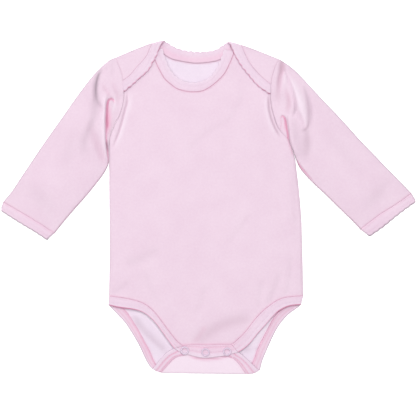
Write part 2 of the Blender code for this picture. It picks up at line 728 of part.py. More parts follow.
def tube(patch, around, top_share, rings, crowding, wall, height, shift):
    """A flattened open tube over a patch, its underside on the table and its top at the height given.

    top_share of the points round the tube are on its top, and crowding above 1 puts its rings
    closer together near its near end. shift is a move in the plane of the table.
    """
    bm = bmesh.new()
    bmesh.ops.create_cone(bm, cap_ends=False, segments=around, radius1=2, radius2=2, depth=1)
    lengthways = [edge for edge in bm.edges if abs(edge.verts[0].co.z - edge.verts[1].co.z) > 0.5]
    bmesh.ops.subdivide_edges(bm, edges=lengthways, cuts=rings - 1, use_grid_fill=True)
    bmesh.ops.solidify(bm, geom=bm.faces[:], thickness=1)
    radii = [corner.co.xy.length for corner in bm.verts]
    between_skins = (min(radii) + max(radii)) / 2
    middle = wall + (FRONT_TOP / 2 - CLOTH)
    for corner in bm.verts:
        turn = round(math.atan2(corner.co.y, corner.co.x) / (2 * math.pi) * around) / around % 1.0
        on_top = turn < top_share
        lane = turn / top_share if on_top else (1 - turn) / (1 - top_share)
        across = (1 - math.cos(math.pi * lane)) / 4 + lane / 2 if crowding > 1 else lane
        along = (corner.co.z + 0.5) ** crowding
        along = TUBE_GAP / patch.length + along * (1 - 2 * TUBE_GAP / patch.length)
        depth = wall if corner.co.xy.length < between_skins else 0.0
        width = patch.width(along)
        from_edge = min(across, 1 - across) * width
        inset = 1.15 * depth / width
        place = patch.at(along, inset + across * (1 - 2 * inset)) + shift(along, across, on_top)
        fullness = math.sqrt(1 - (1 - min(from_edge / TUBE_EDGE, 1)) ** 2)
        top = middle + (height(place, along, across) - depth - middle) * fullness
        bottom = middle - (middle - depth) * fullness
        corner.co = Vector((place.x, place.y, top if on_top else bottom)) * MM
    return bm


def build_sleeve(side):
    """A long sleeve, from the armhole seam to the cuff seam, with the folds of the armpit."""
    edges = SLEEVE_OUTER[side], SLEEVE_INNER[side]
    patch = Patch(ARMHOLE[side], CUFF_SEAM[side], *edges, fade=SLEEVE_FADE)
    outwards = Vector((math.copysign(1, ARMHOLE[side][0][0]), 0))

    def clear_of_body(along, across, on_top):
        """Keeps the sleeve's end off the armhole, and its underarm off the side seam below that."""
        armhole = ARMHOLE_GAP * ramp(0.08, 0, along) * (1 if on_top else 3)
        underarm = ramp(0.75, 0.95, across) * ramp(0, 0.03, along) * ramp(0.2, 0.08, along)
        return outwards * (armhole + UNDERARM_GAP * underarm)

    def height(place, along, across):
        fullness = math.sin(math.pi * min(max(across, 0), 1)) ** 0.8
        crown = SLEEVE_CROWN * fullness * ramp(0, 0.12, along) * (1 - 0.75 * ramp(0.75, 1, along))
        lap = (2 * SHOULDER_BEND - FRONT_TOP) * ramp(0.5, 0.35, across) * ramp(0.1, 0.02, along)
        creases = crease_height(SLEEVE_CREASES[side], place.x, place.y) * ramp(0, 0.05, along)
        return max(FRONT_TOP + crown + lap + creases, SLEEVE_LEAST)

    bm = tube(patch, SLEEVE_AROUND, 2 / 3, SLEEVE_RINGS, 1.4, CLOTH, height, clear_of_body)
    add_piece(f"sleeve_{side}", bm, (0.86, 0.68, 0.81), 0.9)


def build_cuff(side):
    """The doubled band at the end of a sleeve, with a scalloped edge all round."""
    outer = [CUFF_SEAM[side][0], CUFF_EDGE[side][0]]
    inner = [CUFF_SEAM[side][-1], CUFF_EDGE[side][-1]]
    patch = Patch(CUFF_SEAM[side], CUFF_EDGE[side], outer, inner)
    outwards = (patch.at(1, 0.5) - patch.at(0, 0.5)).normalized()

    def frill(along, across, on_top):
        scallop = abs(math.sin(math.pi * across * CUFF_PICOTS)) - 1
        return outwards * PICOT_DEPTH * scallop * ramp(0.6, 1, along)

    def height(place, along, across):
        return 2 * BINDING + SEAM_GAP + 0.5 * math.sin(math.pi * across)

    bm = tube(patch, 2 * CUFF_PICOTS * PICOT_STEPS, 1 / 2, 2, 1, BINDING, height, frill)
    add_piece(f"cuff_{side}", bm, (0.87, 0.67, 0.81), 0.9)


for item in list(bpy.data.objects):
    bpy.data.objects.remove(item)
build_back_panel()
build_front_panel()
build_front_neck_binding()
build_back_neck_binding()
build_front_placket()
for side_name in ("right", "left"):
    build_leg_binding(side_name)
    build_sleeve(side_name)
    build_cuff(side_name)
for index, snap_place in enumerate(SNAP_PLACES, 1):
    build_snap(index, snap_place)
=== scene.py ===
import math
from collections import namedtuple

import bmesh
import bpy
import numpy as np
from mathutils import Matrix, Vector


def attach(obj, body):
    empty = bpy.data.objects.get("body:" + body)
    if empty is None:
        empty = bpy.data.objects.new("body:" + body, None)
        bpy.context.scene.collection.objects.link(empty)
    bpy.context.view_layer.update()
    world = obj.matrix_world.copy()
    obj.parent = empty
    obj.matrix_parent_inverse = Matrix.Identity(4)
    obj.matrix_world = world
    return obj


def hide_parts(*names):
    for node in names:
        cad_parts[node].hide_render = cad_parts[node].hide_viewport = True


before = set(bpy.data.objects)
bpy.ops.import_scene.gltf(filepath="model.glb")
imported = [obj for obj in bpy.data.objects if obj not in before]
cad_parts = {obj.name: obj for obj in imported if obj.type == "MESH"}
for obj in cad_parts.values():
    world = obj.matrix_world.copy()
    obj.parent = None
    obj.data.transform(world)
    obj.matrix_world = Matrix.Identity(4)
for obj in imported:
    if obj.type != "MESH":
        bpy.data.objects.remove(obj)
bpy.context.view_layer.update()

# --- Back panel ----------------------------------------------------------------------------------
# The whole back is one cut of pale pink cotton interlock. It lies on the table with its paler inside
# up. Its two shoulder laps are turned over onto the front, and its crotch flap is turned up. It is cut
# flat here as an outline, scored with a fine grid and laid by the same folds as the solid.
# Sizes are in millimetres: x towards the wearer's left, y towards the neck, z up from the table.

MM = 0.001
CLOTH = 1.1
FRONT_TOP = 2.9
CROTCH_LIFT = 2.1
LIFT_SPAN = (-92, -140)
BODY_CROWN = 1.8
CROWN_HEAD = (150, 90)
CROWN_FOOT = (-150, -95)
BODY_MIDDLE = -3
BODY_HALF = 108
SHOULDER_BEND = 2.35
CROTCH_BEND = 1.6
SIDE_ROLL = 2.4
ROLL_STARTS = 58.0
ROLL_LENGTH = 18
SIDE_GAP = 0.15
TUCKED_EARLIER = 10
PANEL_GRID = 2.4
FINE_GRID = 0.6
FOLD_ENDS = 25
FOLD_REACH = 14
OUTLINE_STEP = 2.2
SAME_POINT = 0.3
EDGE_ROUND = 0.8
RIM_SHARE = 0.3

SHOULDER_FOLD = {
    "right": [(-47.2, 182.3), (-101.1, 163.9)],
    "left": [(20.6, 181.1), (79.0, 161.2)],
}
SHOULDER_BULGE = {"right": 2.2, "left": 1.8}
CORNER_DRAW = 4.8
CORNER_REACH = 13.0
BULGE_REACH = 8
BULGE_LEAN = 0.6
BEND_STEPS = 8
CROTCH_FOLD = [(-61.9, -179.7), (56.0, -181.4)]
LAP_SEAM = {
    "right": [
        (-60.4, 177.8), (-63.4, 172.4), (-68.4, 163.3), (-76.8, 154.4), (-84.4, 145.4), (-93.1, 138.4),
    ],
    "left": [
        (34.6, 176.4), (38.1, 169.9), (43, 160.1), (48.4, 152.4), (56, 144.3), (62.6, 138.3),
        (67.7, 134.6),
    ],
}
BACK_NECK_SEAM = [
    (-60.4, 177.8), (-54.6, 171.9), (-42.6, 163.7), (-33.4, 160.8), (-14.3, 157.9), (4.9, 159.6),
    (13.8, 162.5), (24, 168.8), (34.6, 176.4),
]
ARMHOLE = {
    "right": [
        (-101.1, 163.9), (-99.2, 158), (-95, 147.6), (-93.1, 138.4), (-92, 125), (-93.2, 113.2),
        (-96.6, 101.6), (-102, 91.4), (-108.3, 75.2),
    ],
    "left": [
        (79, 161.2), (74.4, 157.6), (70.3, 146.4), (67.7, 134.6), (67.2, 123.6), (67.8, 115.2),
        (70, 103.6), (75.8, 87.5), (86.7, 75.2),
    ],
}
LAP_ROWS = 4
SIDE_SEAM = {
    "right": [
        (-108.3, 75.2), (-108.4, 47.3), (-108.4, 19.4), (-108, -13.6), (-107.8, -53.2), (-108.8, -95.6),
    ],
    "left": [(86.7, 75.2), (93.6, 55.4), (98.2, 23.6), (101.4, -13.6), (102.2, -40), (103.4, -95.6)],
}
BACK_LEG_SEAM = {
    "right": [
        (-108.8, -95.6), (-99.2, -104), (-90, -113), (-78.2, -130.6), (-69.2, -147.6), (-64.6, -155.9),
        (-59.4, -168.5), (-52, -179.8),
    ],
    "left": [
        (103.4, -95.6), (91.6, -102.6), (82, -108.6), (75, -114.6), (69.6, -122.6), (64.2, -132.8),
        (54.2, -152.6), (49.4, -166), (41, -181.2),
    ],
}
FLAP_SEAM = {
    "right": [(-52, -179.8), (-45.2, -172), (-38.7, -165.2), (-33.3, -161.7), (-25, -159), (-20, -145)],
    "left": [(41, -181.2), (36.5, -174.6), (32.1, -168.6), (26.6, -163.6), (19.6, -160.4), (17, -145)],
}

# A crease lies along a line. A negative height is a valley, and the two widths are of its sides
# towards the garment's outer edge and towards its middle. Deep in a fold the light that reaches the
# eye has gone from cloth to cloth, and this is painted in: the knit there is painted rosier and dimmer
# by these shares, as painted shade. A negative dim is a painted highlight, and a crease of no height
# is only painted. A row of its line is x, y and, where the crease swells and thins, how full it is
# there and how broad.
Crease = namedtuple("Crease", "height outer_width inner_width rose dim line")
ARMHOLE_TUCK = {
    "right": [
        (-88.9, 126.9), (-88.9, 120.9), (-89.1, 114.3), (-91.1, 106.7), (-93.4, 98), (-95.8, 89.3),
        (-98.6, 80.6), (-101.5, 73), (-104.8, 65.3),
    ],
    "left": [
        (65.4, 124.1), (65.4, 120.9), (65.3, 114.3), (66, 106.7), (68, 98), (71.3, 89.3), (75.1, 81.7),
        (77.8, 76.2),
    ],
}
# Some rows are only painted, or mostly: a line of rosy painted shade by the left armhole, and strips of
# painted highlight beside the armhole tucks. The rest raise or sink the cloth, with a little painted
# shade.
BODY_CREASES = [
    Crease(-0.8, 1.3, 1.2, 0.06, 0.30, ARMHOLE_TUCK["right"]),
    Crease(-0.8, 1.3, 1.2, 0.06, 0.34, ARMHOLE_TUCK["left"]),
    Crease(0, 1, 1, 0.25, 0.10, [(82.5, 85), (86.3, 75), (89.8, 65), (93, 56)]),
    Crease(0.4, 1.2, 3, 0, -0.45, [(x + 2.5, y) for x, y in ARMHOLE_TUCK["right"]]),
    Crease(0.4, 1.2, 3, 0, -0.30, [(x - 2.5, y) for x, y in ARMHOLE_TUCK["left"]]),
    Crease(-0.5, 3.5, 3.5, 0, 0.03, [
        (40.5, 132.7), (32.8, 112.9), (21.8, 94.2), (-3.5, 79.9), (-25.5, 57.9),
    ]),
    Crease(-0.5, 4, 3, 0, 0.03, [(46, -4.8), (35, -22.4), (21.8, -38.9)]),
    Crease(-0.9, 6, 5, 0, 0.06, [(-91.5, -62), (-77.2, -58.7), (-53, -46.6)]),
    Crease(-0.5, 3.5, 4, 0, 0.03, [(-69.5, -68.6), (-61.8, -90.6), (-50, -107)]),
    Crease(-1, 6, 7, 0.04, 0.15, [
        (-16.7, -148.9), (-5.7, -141.2), (7.5, -132.4), (26.2, -124.7), (48.2, -120.3),
    ]),
    Crease(-0.5, 4, 4, 0, 0.03, [(-1.3, -82.9), (-6.8, -101.6), (-14, -116)]),
    Crease(-0.4, 3, 3, 0.10, 0.02, [(-17, -147.5), (-9.5, -139.5), (-3, -128)]),
    Crease(-0.9, 3, 3, 0, 0.06, [(79, -68.6), (72.4, -88.4), (64.7, -107.1)]),
    Crease(-0.6, 2.5, 2.5, 0, 0.04, [(59.2, -78), (57, -92), (53.9, -110.1)]),
    Crease(-0.6, 2.5, 2.5, 0, 0.04, [(90, -52), (87.8, -79.6), (83.4, -99.4)]),
    Crease(-0.8, 3, 3, 0, 0.05, [(-105.8, -93.9), (-97, -89.5), (-86.2, -81)]),
    Crease(-0.4, 2.5, 2.5, 0, 0.03, [(92.2, 34), (94.5, 0), (95.5, -42)]),
    Crease(0.5, 6, 8, 0, 0, [(-95, 70), (-91, 30), (-94, -22)]),
    Crease(0.5, 5, 6, 0, 0, [(83, 66), (86, 30), (89, -16)]),
]
LEG_FOLD = [(-83.8, -115.9), (-75, -129.1), (-64, -141.2), (-53, -151.1), (-44.2, -158.8)]
# A soft fold in each leg opening, with painted shade in its valley, and strips of painted highlight along
# the front's leg edges, against the shade those edges cast.
BACK_CREASES = [
    Crease(1.2, 6, 2.4, 0, 0, [(x - 3, y) for x, y in LEG_FOLD]),
    Crease(0, 2.5, 5, 0.04, 0.22, LEG_FOLD),
    Crease(0.7, 2.5, 2.5, 0.03, 0.10, [(38.6, -156.6), (48.2, -151), (57.9, -154.4)]),
    Crease(0, 1.6, 1.6, 0, -0.55, [(-81, -113.4), (-67, -118.6), (-53.6, -132.6), (-41, -149.5)]),
    Crease(0, 3.5, 3.5, 0, -0.50, [(67, -125), (57, -137), (50, -146), (44, -153)]),
]
FLAP_SHADOW = [(-24, -159.8), (-12, -163.4), (-1.7, -164.5), (14, -162.6), (26, -159.8)]


def smooth_curve(rows, step=OUTLINE_STEP):
    """Points about one step apart on a smooth curve through the rows, both ends kept."""
    rows = np.array(rows, float)
    knots = np.vstack([rows[:1], rows, rows[-1:]])
    curve = []
    for before, here, there, after in zip(knots, knots[1:], knots[2:], knots[3:]):
        pieces = max(1, round(np.linalg.norm(there - here) / step))
        t = (np.arange(pieces) / pieces)[:, None]
        bend = (2 * before - 5 * here + 4 * there - after) * t**2
        cubic = (3 * here - before - 3 * there + after) * t**3
        curve.append(here + ((there - before) * t + bend + cubic) / 2)
    return np.vstack([*curve, rows[-1:]])


def ramp(start, end, value):
    """0 before start, 1 after end, and a smooth rise between them."""
    share = np.clip((value - start) / (end - start), 0.0, 1.0)
    return share * share * (3 - 2 * share)


def swell(distance, width):
    """1 at no distance, falling softly to nothing at about twice the width."""
    return np.exp(-((distance / width) ** 2))


def rounded(distance, radius):
    """How full a rounded rim is this far in: 0 at the rim itself, and 1 from the radius inwards."""
    return np.sqrt(1 - (1 - np.minimum(distance / radius, 1)) ** 2)


def nearest(line, places):
    """How far each place is from a chain of points, how far along it that is, and on which side."""
    steps = np.diff(line, axis=0)
    arms = places[:, None] - line[None, :-1]
    share = np.clip((arms * steps).sum(2) / (steps**2).sum(1), 0, 1)
    off = arms - share[..., None] * steps
    gaps = np.linalg.norm(off, axis=2)
    best = gaps.argmin(1)
    rows = np.arange(len(places))
    off = off[rows, best]
    side = steps[best, 0] * off[:, 1] - steps[best, 1] * off[:, 0]
    return gaps[rows, best], (best + share[rows, best]) / len(steps), np.sign(side)


def crease_effects(creases, places):
    """How much the creases raise each place, and how rosy and how dim the cloth is painted there."""
    rise, rose, dim = np.zeros((3, len(places)))
    for crease in creases:
        rows = smooth_curve(crease.line, 2.0)
        line = rows[:, :2]
        reach = 3 * max(crease.outer_width, crease.inner_width)
        near = ((places > line.min(0) - reach) & (places < line.max(0) + reach)).all(1)
        gap, along, side = nearest(line, places[near])
        outer_side = -math.copysign(1, (line[-1] - line[0])[1] * line[:, 0].mean())
        width = np.where(side == outer_side, crease.outer_width, crease.inner_width)
        columns = [np.interp(along, np.linspace(0, 1, len(rows)), column) for column in rows.T[2:]]
        fullness = columns[0] if columns else ramp(-0.03, 0.2, along) * ramp(1.03, 0.8, along)
        if len(columns) > 1:
            width = width * columns[1]
        share = np.maximum(fullness, 0.0) * swell(gap, width)
        rise[near] += crease.height * share
        rose[near] = np.maximum(rose[near], crease.rose * share)
        dim[near] += crease.dim * share
    return rise, rose, dim


def front_height(places):
    """Height of the front panel's outer face."""
    x, y = places.T
    crown = BODY_CROWN * np.maximum(0.0, 1 - ((x - BODY_MIDDLE) / BODY_HALF) ** 4)
    crown *= ramp(*CROWN_HEAD, y) * ramp(*CROWN_FOOT, y)
    lift = CROTCH_LIFT * ramp(*LIFT_SPAN, y)
    return FRONT_TOP + crown + lift + crease_effects(BODY_CREASES, places)[0]


def front_rise(places):
    """How far the front panel lifts what lies on it above its plain height."""
    return np.maximum(0.0, front_height(places) - FRONT_TOP)


class Fold:
    """A straight turned edge, where the cloth beyond it comes back over the cloth inside it."""

    def __init__(self, ends, radius, rise=None, bulge=0.0, draw=0.0, margin=12.0):
        self.start = np.array(ends[0], float)
        run = np.array(ends[1]) - self.start
        self.length = np.linalg.norm(run)
        self.run = run / self.length
        self.out = np.array([-self.run[1], self.run[0]])
        if self.out @ self.start < 0:
            self.out = -self.out
        self.radius, self.rise, self.margin = radius, rise, margin
        self.bulge, self.draw = bulge, draw

    def measure(self, places):
        """How far along the fold each place is, and how far beyond it."""
        arms = places - self.start
        return arms @ self.run, arms @ self.out

    def takes(self, places):
        """Which places on the flat cloth are turned by this fold."""
        along, beyond = self.measure(places)
        return (along > -self.margin) & (along < self.length + self.margin) & (beyond > -self.radius)

    def unfold(self, line):
        """Where points that lie on the turned part are on the flat cloth."""
        inside = -self.measure(line)[1]
        return line + self.out * (2 * inside + (math.pi - 2) * self.radius)[:, None]

    def lay(self, flat, proud):
        """Places on the flat cloth, each with its depth below the outer face, once the fold is made."""
        along, beyond = self.measure(flat[:, :2])
        bend = beyond + self.radius
        turn = np.clip(bend / self.radius, 0, math.pi)
        arm = self.radius - flat[:, 2]
        reach = arm * np.sin(turn) - self.radius - np.maximum(bend - math.pi * self.radius, 0.0)
        foot = self.start + np.outer(along, self.run) + np.outer(reach, self.out)
        lift = (proud + (self.rise(foot) if self.rise else 0.0)) * turn / math.pi
        return np.column_stack([foot, self.radius - arm * np.cos(turn) + lift])

    def round_out(self, places):
        """The soft bulge of the turned edge, less what its corners are drawn in, as a move in plan."""
        along, beyond = self.measure(places)
        share = np.clip(along / self.length, 0.0, 1.0)
        from_corner = np.minimum(share, 1 - share) * self.length
        move = self.bulge * np.sin(math.pi * share**BULGE_LEAN)
        move -= self.draw * np.maximum(0.0, 1 - from_corner / CORNER_REACH) ** 2
        return np.outer(move * np.exp(-abs(beyond) / BULGE_REACH), self.out)

    def rim(self):
        """The line on the flat cloth that ends up outermost."""
        out = self.out * self.radius * (math.pi / 2 - 1)
        return np.array([self.start + out, self.start + self.run * self.length + out])

    def score_lines(self):
        """Lines on the flat cloth across which it bends, from the bend's start to its end."""
        steps = np.arange(BEND_STEPS + 1) * math.pi / BEND_STEPS - 1
        return [self.start + self.out * step * self.radius for step in steps]


SHOULDERS = {
    side: Fold(ends, SHOULDER_BEND, front_rise, SHOULDER_BULGE[side])
    for side, ends in SHOULDER_FOLD.items()
}
CROTCH = Fold(CROTCH_FOLD, CROTCH_BEND, draw=CORNER_DRAW)
# The shadow that the placket casts on the flap is painted onto the flap, rosy and dim.
BACK_CREASES.append(Crease(0.0, 1.7, 1.7, 0.26, 0.74, CROTCH.unfold(np.array(FLAP_SHADOW))))
SIDE_LINES = {side: smooth_curve(rows, 20) for side, rows in SIDE_SEAM.items()}
SIDE_FOOT = SIDE_SEAM["right"][-1][1]


def bulged(laid):
    """Laid places, moved by the soft bulge of the shoulders and the drawn corners of the crotch."""
    moved = laid.copy()
    for fold in (*SHOULDERS.values(), CROTCH):
        moved[:, :2] += fold.round_out(laid[:, :2])
    return moved


def lay_on_table(folds, proud=0.0):
    """How a piece that starts on the table is laid, with its own folds."""

    def lay(flat):
        laid = flat.copy()
        free = np.ones(len(flat), bool)
        for fold in folds:
            taken = free & fold.takes(flat[:, :2])
            laid[taken] = fold.lay(flat[taken], proud)
            free &= ~taken
        return bulged(laid)

    return lay


def thicken(bm, thickness):
    """Gives flat faces a second skin above them, and a rim between the two."""
    skin = bmesh.ops.extrude_face_region(bm, geom=bm.faces[:])
    raised = [item for item in skin["geom"] if isinstance(item, bmesh.types.BMVert)]
    bmesh.ops.translate(bm, verts=raised, vec=(0, 0, thickness))


def score(bm, point, normal, faces):
    """Cuts a straight line across some of the faces."""
    edges = {edge for face in faces for edge in face.edges}
    corners = {corner for face in faces for corner in face.verts}
    geometry = [*corners, *edges, *faces]
    bmesh.ops.bisect_plane(bm, geom=geometry, dist=0.02, plane_co=(*point, 0), plane_no=(*normal, 0))


def cut_cloth(outline, folds=(), fine_areas=()):
    """A flat piece with this outline, ready to be laid, with its two skins and its rim."""
    bm = bmesh.new()
    bm.faces.new([bm.verts.new((*point, 0)) for point in outline])
    for width in (EDGE_ROUND * 0.4, EDGE_ROUND * 0.6):
        bm.normal_update()
        whole = [max(bm.faces, key=lambda face: face.calc_area())]
        bmesh.ops.inset_region(
            bm, faces=whole, thickness=width, use_boundary=True, use_even_offset=True
        )
    low, high = outline.min(0), outline.max(0)
    for axis, normal in enumerate(((1, 0), (0, 1))):
        for i in range(math.ceil(low[axis] / PANEL_GRID), math.ceil(high[axis] / PANEL_GRID)):
            score(bm, np.array(normal) * i * PANEL_GRID, normal, bm.faces[:])
    for corner, opposite in fine_areas:
        for axis, normal in enumerate(((1, 0), (0, 1))):
            for at in np.arange(corner[axis], opposite[axis], FINE_GRID):
                middles = np.array([face.calc_center_median()[:2] for face in bm.faces])
                inside = ((middles > corner) & (middles < opposite)).all(1)
                inside &= abs(middles[:, axis] - at) < PANEL_GRID
                bm.faces.ensure_lookup_table()
                score(bm, np.array(normal) * at, normal, [bm.faces[i] for i in np.flatnonzero(inside)])
    for fold in folds:
        for line in fold.score_lines():
            middles = np.array([face.calc_center_median()[:2] for face in bm.faces])
            along, beyond = fold.measure(middles)
            near = (along > -FOLD_ENDS) & (along < fold.length + FOLD_ENDS) & (abs(beyond) < FOLD_REACH)
            bm.faces.ensure_lookup_table()
            score(bm, line, fold.out, [bm.faces[i] for i in np.flatnonzero(near)])
    thicken(bm, CLOTH)
    return bm


class Shade:
    """One output of a shader's nodes. Sums and products of it add the nodes that work them out."""

    def __init__(self, tree, socket=None):
        self.tree, self.socket = tree, socket

    def node(self, kind, settings=(), inputs=(), output=0):
        """Adds a node with its settings and its inputs, and gives one of its outputs."""
        made = self.tree.nodes.new(kind)
        for name, value in dict(settings).items():
            setattr(made, name, value)
        for name, value in dict(inputs).items():
            if isinstance(value, Shade):
                self.tree.links.new(value.socket, made.inputs[name])
            else:
                made.inputs[name].default_value = value
        return Shade(self.tree, made.outputs[output])

    def math(self, operation, *values):
        return self.node("ShaderNodeMath", {"operation": operation}, dict(enumerate((self, *values))))

    def __add__(self, other):
        return self.math("ADD", other)

    __radd__ = __add__

    def __mul__(self, other):
        return self.math("MULTIPLY", other)

    __rmul__ = __mul__

    def __sub__(self, other):
        return self.math("SUBTRACT", other)

    def __truediv__(self, other):
        return self.math("DIVIDE", other)

    def __pow__(self, other):
        return self.math("POWER", other)

    def mix(self, low, high):
        """The colour low where this is 0, and high where it is 1."""
        made = {"Factor": self, 6: low, 7: high}
        return self.node("ShaderNodeMix", {"data_type": "RGBA"}, made, output=2)

    def feed(self, surface, name):
        self.tree.links.new(self.socket, surface.inputs[name])


# How much paler the turned-up flap is painted, a painted highlight, and over what distance from its fold
# that comes in.
PAINTED_FLAP_PALENESS = 0.5
PALE_WITHIN = 3.0
WALE = 0.95
COURSE = 0.8
PINK = (0.800, 0.635, 0.742, 1)
PINK_DEEP = (0.740, 0.555, 0.675, 1)
# Colours that painted light mixes in: rose for light that has gone from cloth to cloth in folds and seams,
# dusk for shade, and milk for highlights.
PAINTED_SHADE_ROSE = (0.84, 0.22, 0.42, 1)
PAINTED_SHADE_DUSK = (0.24, 0.18, 0.225, 1)
PAINTED_HIGHLIGHT_MILK = (0.90, 0.79, 0.88, 1)
PALE = (0.815, 0.700, 0.810, 1)
PALE_DEEP = (0.755, 0.635, 0.755, 1)


def new_material(name, **values):
    """A material, its surface with these uniform values, and where the maths of its shader starts."""
    material = bpy.data.materials.new(name)
    material.use_nodes = True
    surface = material.node_tree.nodes["Principled BSDF"]
    for socket, value in values.items():
        surface.inputs[socket.replace("_", " ")].default_value = value
    return material, surface, Shade(material.node_tree)


def knit(name, face, deep, rib=0.00012):
    """Cotton interlock: fine wales of slanted loops, a little uneven, with painted shade, rosier and
    dimmer, in its seams and folds, and painted highlights.
    """
    material, surface, start = new_material(
        name, Roughness=0.88, Specular_IOR_Level=0.25, Sheen_Weight=0.18, Sheen_Roughness=0.5
    )
    cloth = start.node("ShaderNodeUVMap", {"uv_map": "cloth"})
    across = start.node("ShaderNodeSeparateXYZ", (), {0: cloth}) / WALE
    up = start.node("ShaderNodeSeparateXYZ", (), {0: cloth}, output=1) / COURSE
    wale = (across * math.pi).math("SINE").math("ABSOLUTE")
    slant = (across.math("FRACT") - 0.5).math("ABSOLUTE")
    loop = ((up + slant) * (2 * math.pi)).math("SINE") * 0.5 + 0.5
    place = start.node("ShaderNodeTexCoord", output=3)
    fibres = start.node("ShaderNodeTexNoise", (), {"Vector": place, "Scale": 1400.0, "Detail": 3.0})
    clouds = start.node("ShaderNodeTexNoise", (), {"Vector": place, "Scale": 42.0, "Detail": 4.0})
    height = wale**0.6 * (0.7 + 0.3 * loop) + fibres * 0.35
    specks = start.node("ShaderNodeTexNoise", (), {"Vector": place, "Scale": 420.0, "Detail": 2.0})
    tone = height * 0.35 + clouds * 1.0 + specks * 0.9 - 0.62
    plain = tone.mix(deep, face)
    # Painted light from the mesh: rosier towards rose and dimmer towards dusk where shade is painted, and
    # paler towards milk where the dim is negative, a painted highlight.
    rose = start.node("ShaderNodeAttribute", {"attribute_name": "rose"}, output=2)
    dim = start.node("ShaderNodeAttribute", {"attribute_name": "dim"}, output=2)
    (dim * -1).mix(dim.mix(rose.mix(plain, PAINTED_SHADE_ROSE), PAINTED_SHADE_DUSK), PAINTED_HIGHLIGHT_MILK).feed(surface, "Base Color")
    relief_of_knit = {"Height": height, "Distance": rib, "Strength": 0.6}
    start.node("ShaderNodeBump", (), relief_of_knit).feed(surface, "Normal")
    return material


OUTSIDE = knit("interlock_outside", PINK, PINK_DEEP)
INSIDE = knit("interlock_inside", PALE, PALE_DEEP)


def new_object(name, data):
    """An object of the scene with this data."""
    made = bpy.data.objects.new(name, data)
    bpy.context.scene.collection.objects.link(made)
    return made


def add_piece(name, bm, places, tints, materials):
    """The mesh with its corners at these places, as a finished piece on the body of the garment.

    tints are how rosy and how dim its knit is painted at each corner: painted shade, and a painted
    highlight where the dim is negative.
    """
    for corner, place in zip(bm.verts, places):
        corner.co = Vector(place) * MM
    bmesh.ops.recalc_face_normals(bm, faces=bm.faces)
    if bm.calc_volume(signed=True) < 0:
        bmesh.ops.reverse_faces(bm, faces=bm.faces)
    mesh = bpy.data.meshes.new(name)
    bm.to_mesh(mesh)
    bm.free()
    for tint, values in zip(("rose", "dim"), tints):
        column = mesh.attributes.new(tint, "FLOAT", "POINT").data
        column.foreach_set("value", np.asarray(values, np.float32))
    for material in materials:
        mesh.materials.append(material)
    mesh.shade_smooth()
    piece = new_object(name, mesh)
    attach(piece, "root")
    return piece


def lay_panel(name, bm, outline, lay, seams, creases, painted_pale_beyond=None):
    """Lays a cut panel and tints its seams, as painted shade.

    Beyond the fold that is passed for it the cloth has little under it, and its knit is painted paler
    there, a painted highlight.
    """
    flat = np.array([corner.co[:] for corner in bm.verts])
    area = sum(face.calc_area() for face in bm.faces if max(c.co.z for c in face.verts) < CLOTH / 2)
    grain = bm.loops.layers.uv.new("cloth")
    for face in bm.faces:
        face.material_index = int(min(corner.co.z for corner in face.verts) > CLOTH / 2)
        for loop in face.loops:
            loop[grain].uv = loop.vert.co.xy
    edge = nearest(np.vstack([outline, outline[:1]]), flat[:, :2])[0]
    fullness = RIM_SHARE + (1 - RIM_SHARE) * rounded(edge, EDGE_ROUND)
    flat[:, 2] = CLOTH / 2 + (flat[:, 2] - CLOTH / 2) * fullness
    # Painted shade and highlight from its creases, then painted shade along its seams and the rims of its
    # folds.
    rose, dim = crease_effects(creases, flat[:, :2])[1:]
    for seam in seams:
        share = swell(nearest(seam.line, flat[:, :2])[0], seam.width)
        rose = np.maximum(rose, seam.rose * share)
        dim = np.where(abs(dim) > abs(seam.dim * share), dim, seam.dim * share)
    if painted_pale_beyond:
        dim -= PAINTED_FLAP_PALENESS * ramp(0.0, PALE_WITHIN, painted_pale_beyond.measure(flat[:, :2])[1])
    piece = add_piece(f"{name}_cloth", bm, lay(flat), (rose, dim), [OUTSIDE, INSIDE])
    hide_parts(name)
    area * MM * MM


def joined(*chains):
    """Chains of points end to end, without the points that they share."""
    outline = []
    for point in np.vstack(chains):
        if not outline or np.linalg.norm(point - outline[-1]) > SAME_POINT:
            outline.append(point)
    if np.linalg.norm(outline[0] - outline[-1]) < SAME_POINT:
        outline.pop()
    return np.array(outline)


def roll_share(y):
    """How fully the side seam rolls down here: not at all at the underarm, then all the way."""
    return ramp(ROLL_STARTS, ROLL_STARTS - ROLL_LENGTH, y)


# A seam or a rim, how rosy and how dim it is painted along its line as painted shade, and over what width.
Seam = namedtuple("Seam", "line rose dim width")
halves = {}
# The back's seams are painted with shade, and so are the rims of its folds, where the cloth turns away
# from the light.
back_seams = [Seam(smooth_curve(BACK_NECK_SEAM), 0.3, 0.3, 0.9), Seam(CROTCH.rim(), 0.0, 0.36, 1.6)]
back_seams += [Seam(fold.rim(), 0.0, 0.40, 2.0) for fold in SHOULDERS.values()]
for side, sign in (("right", -1), ("left", 1)):
    shoulder = SHOULDERS[side]
    inset = sign * (SIDE_ROLL - CLOTH + SIDE_GAP)
    side_line = SIDE_LINES[side].copy()
    side_line[:, 0] -= inset * roll_share(side_line[:, 1] - TUCKED_EARLIER)
    lap_line = shoulder.unfold(smooth_curve(LAP_SEAM[side]))
    lap_armhole = shoulder.unfold(smooth_curve(ARMHOLE[side][:LAP_ROWS]))
    leg_line = smooth_curve(BACK_LEG_SEAM[side])
    flap_line = CROTCH.unfold(smooth_curve(FLAP_SEAM[side]))
    armhole = smooth_curve(ARMHOLE[side])[:-1]
    halves[side] = joined(lap_line, lap_armhole[::-1], armhole, side_line, leg_line[1:], flap_line)
    back_seams += [
        Seam(lap_line, 0.12, 0.06, 0.7),
        Seam(leg_line, 0.35, 0.0, 0.9),
        Seam(flap_line, 0.25, 0.2, 0.8),
        Seam(lap_armhole, 0.08, 0.1, 0.8),
    ]
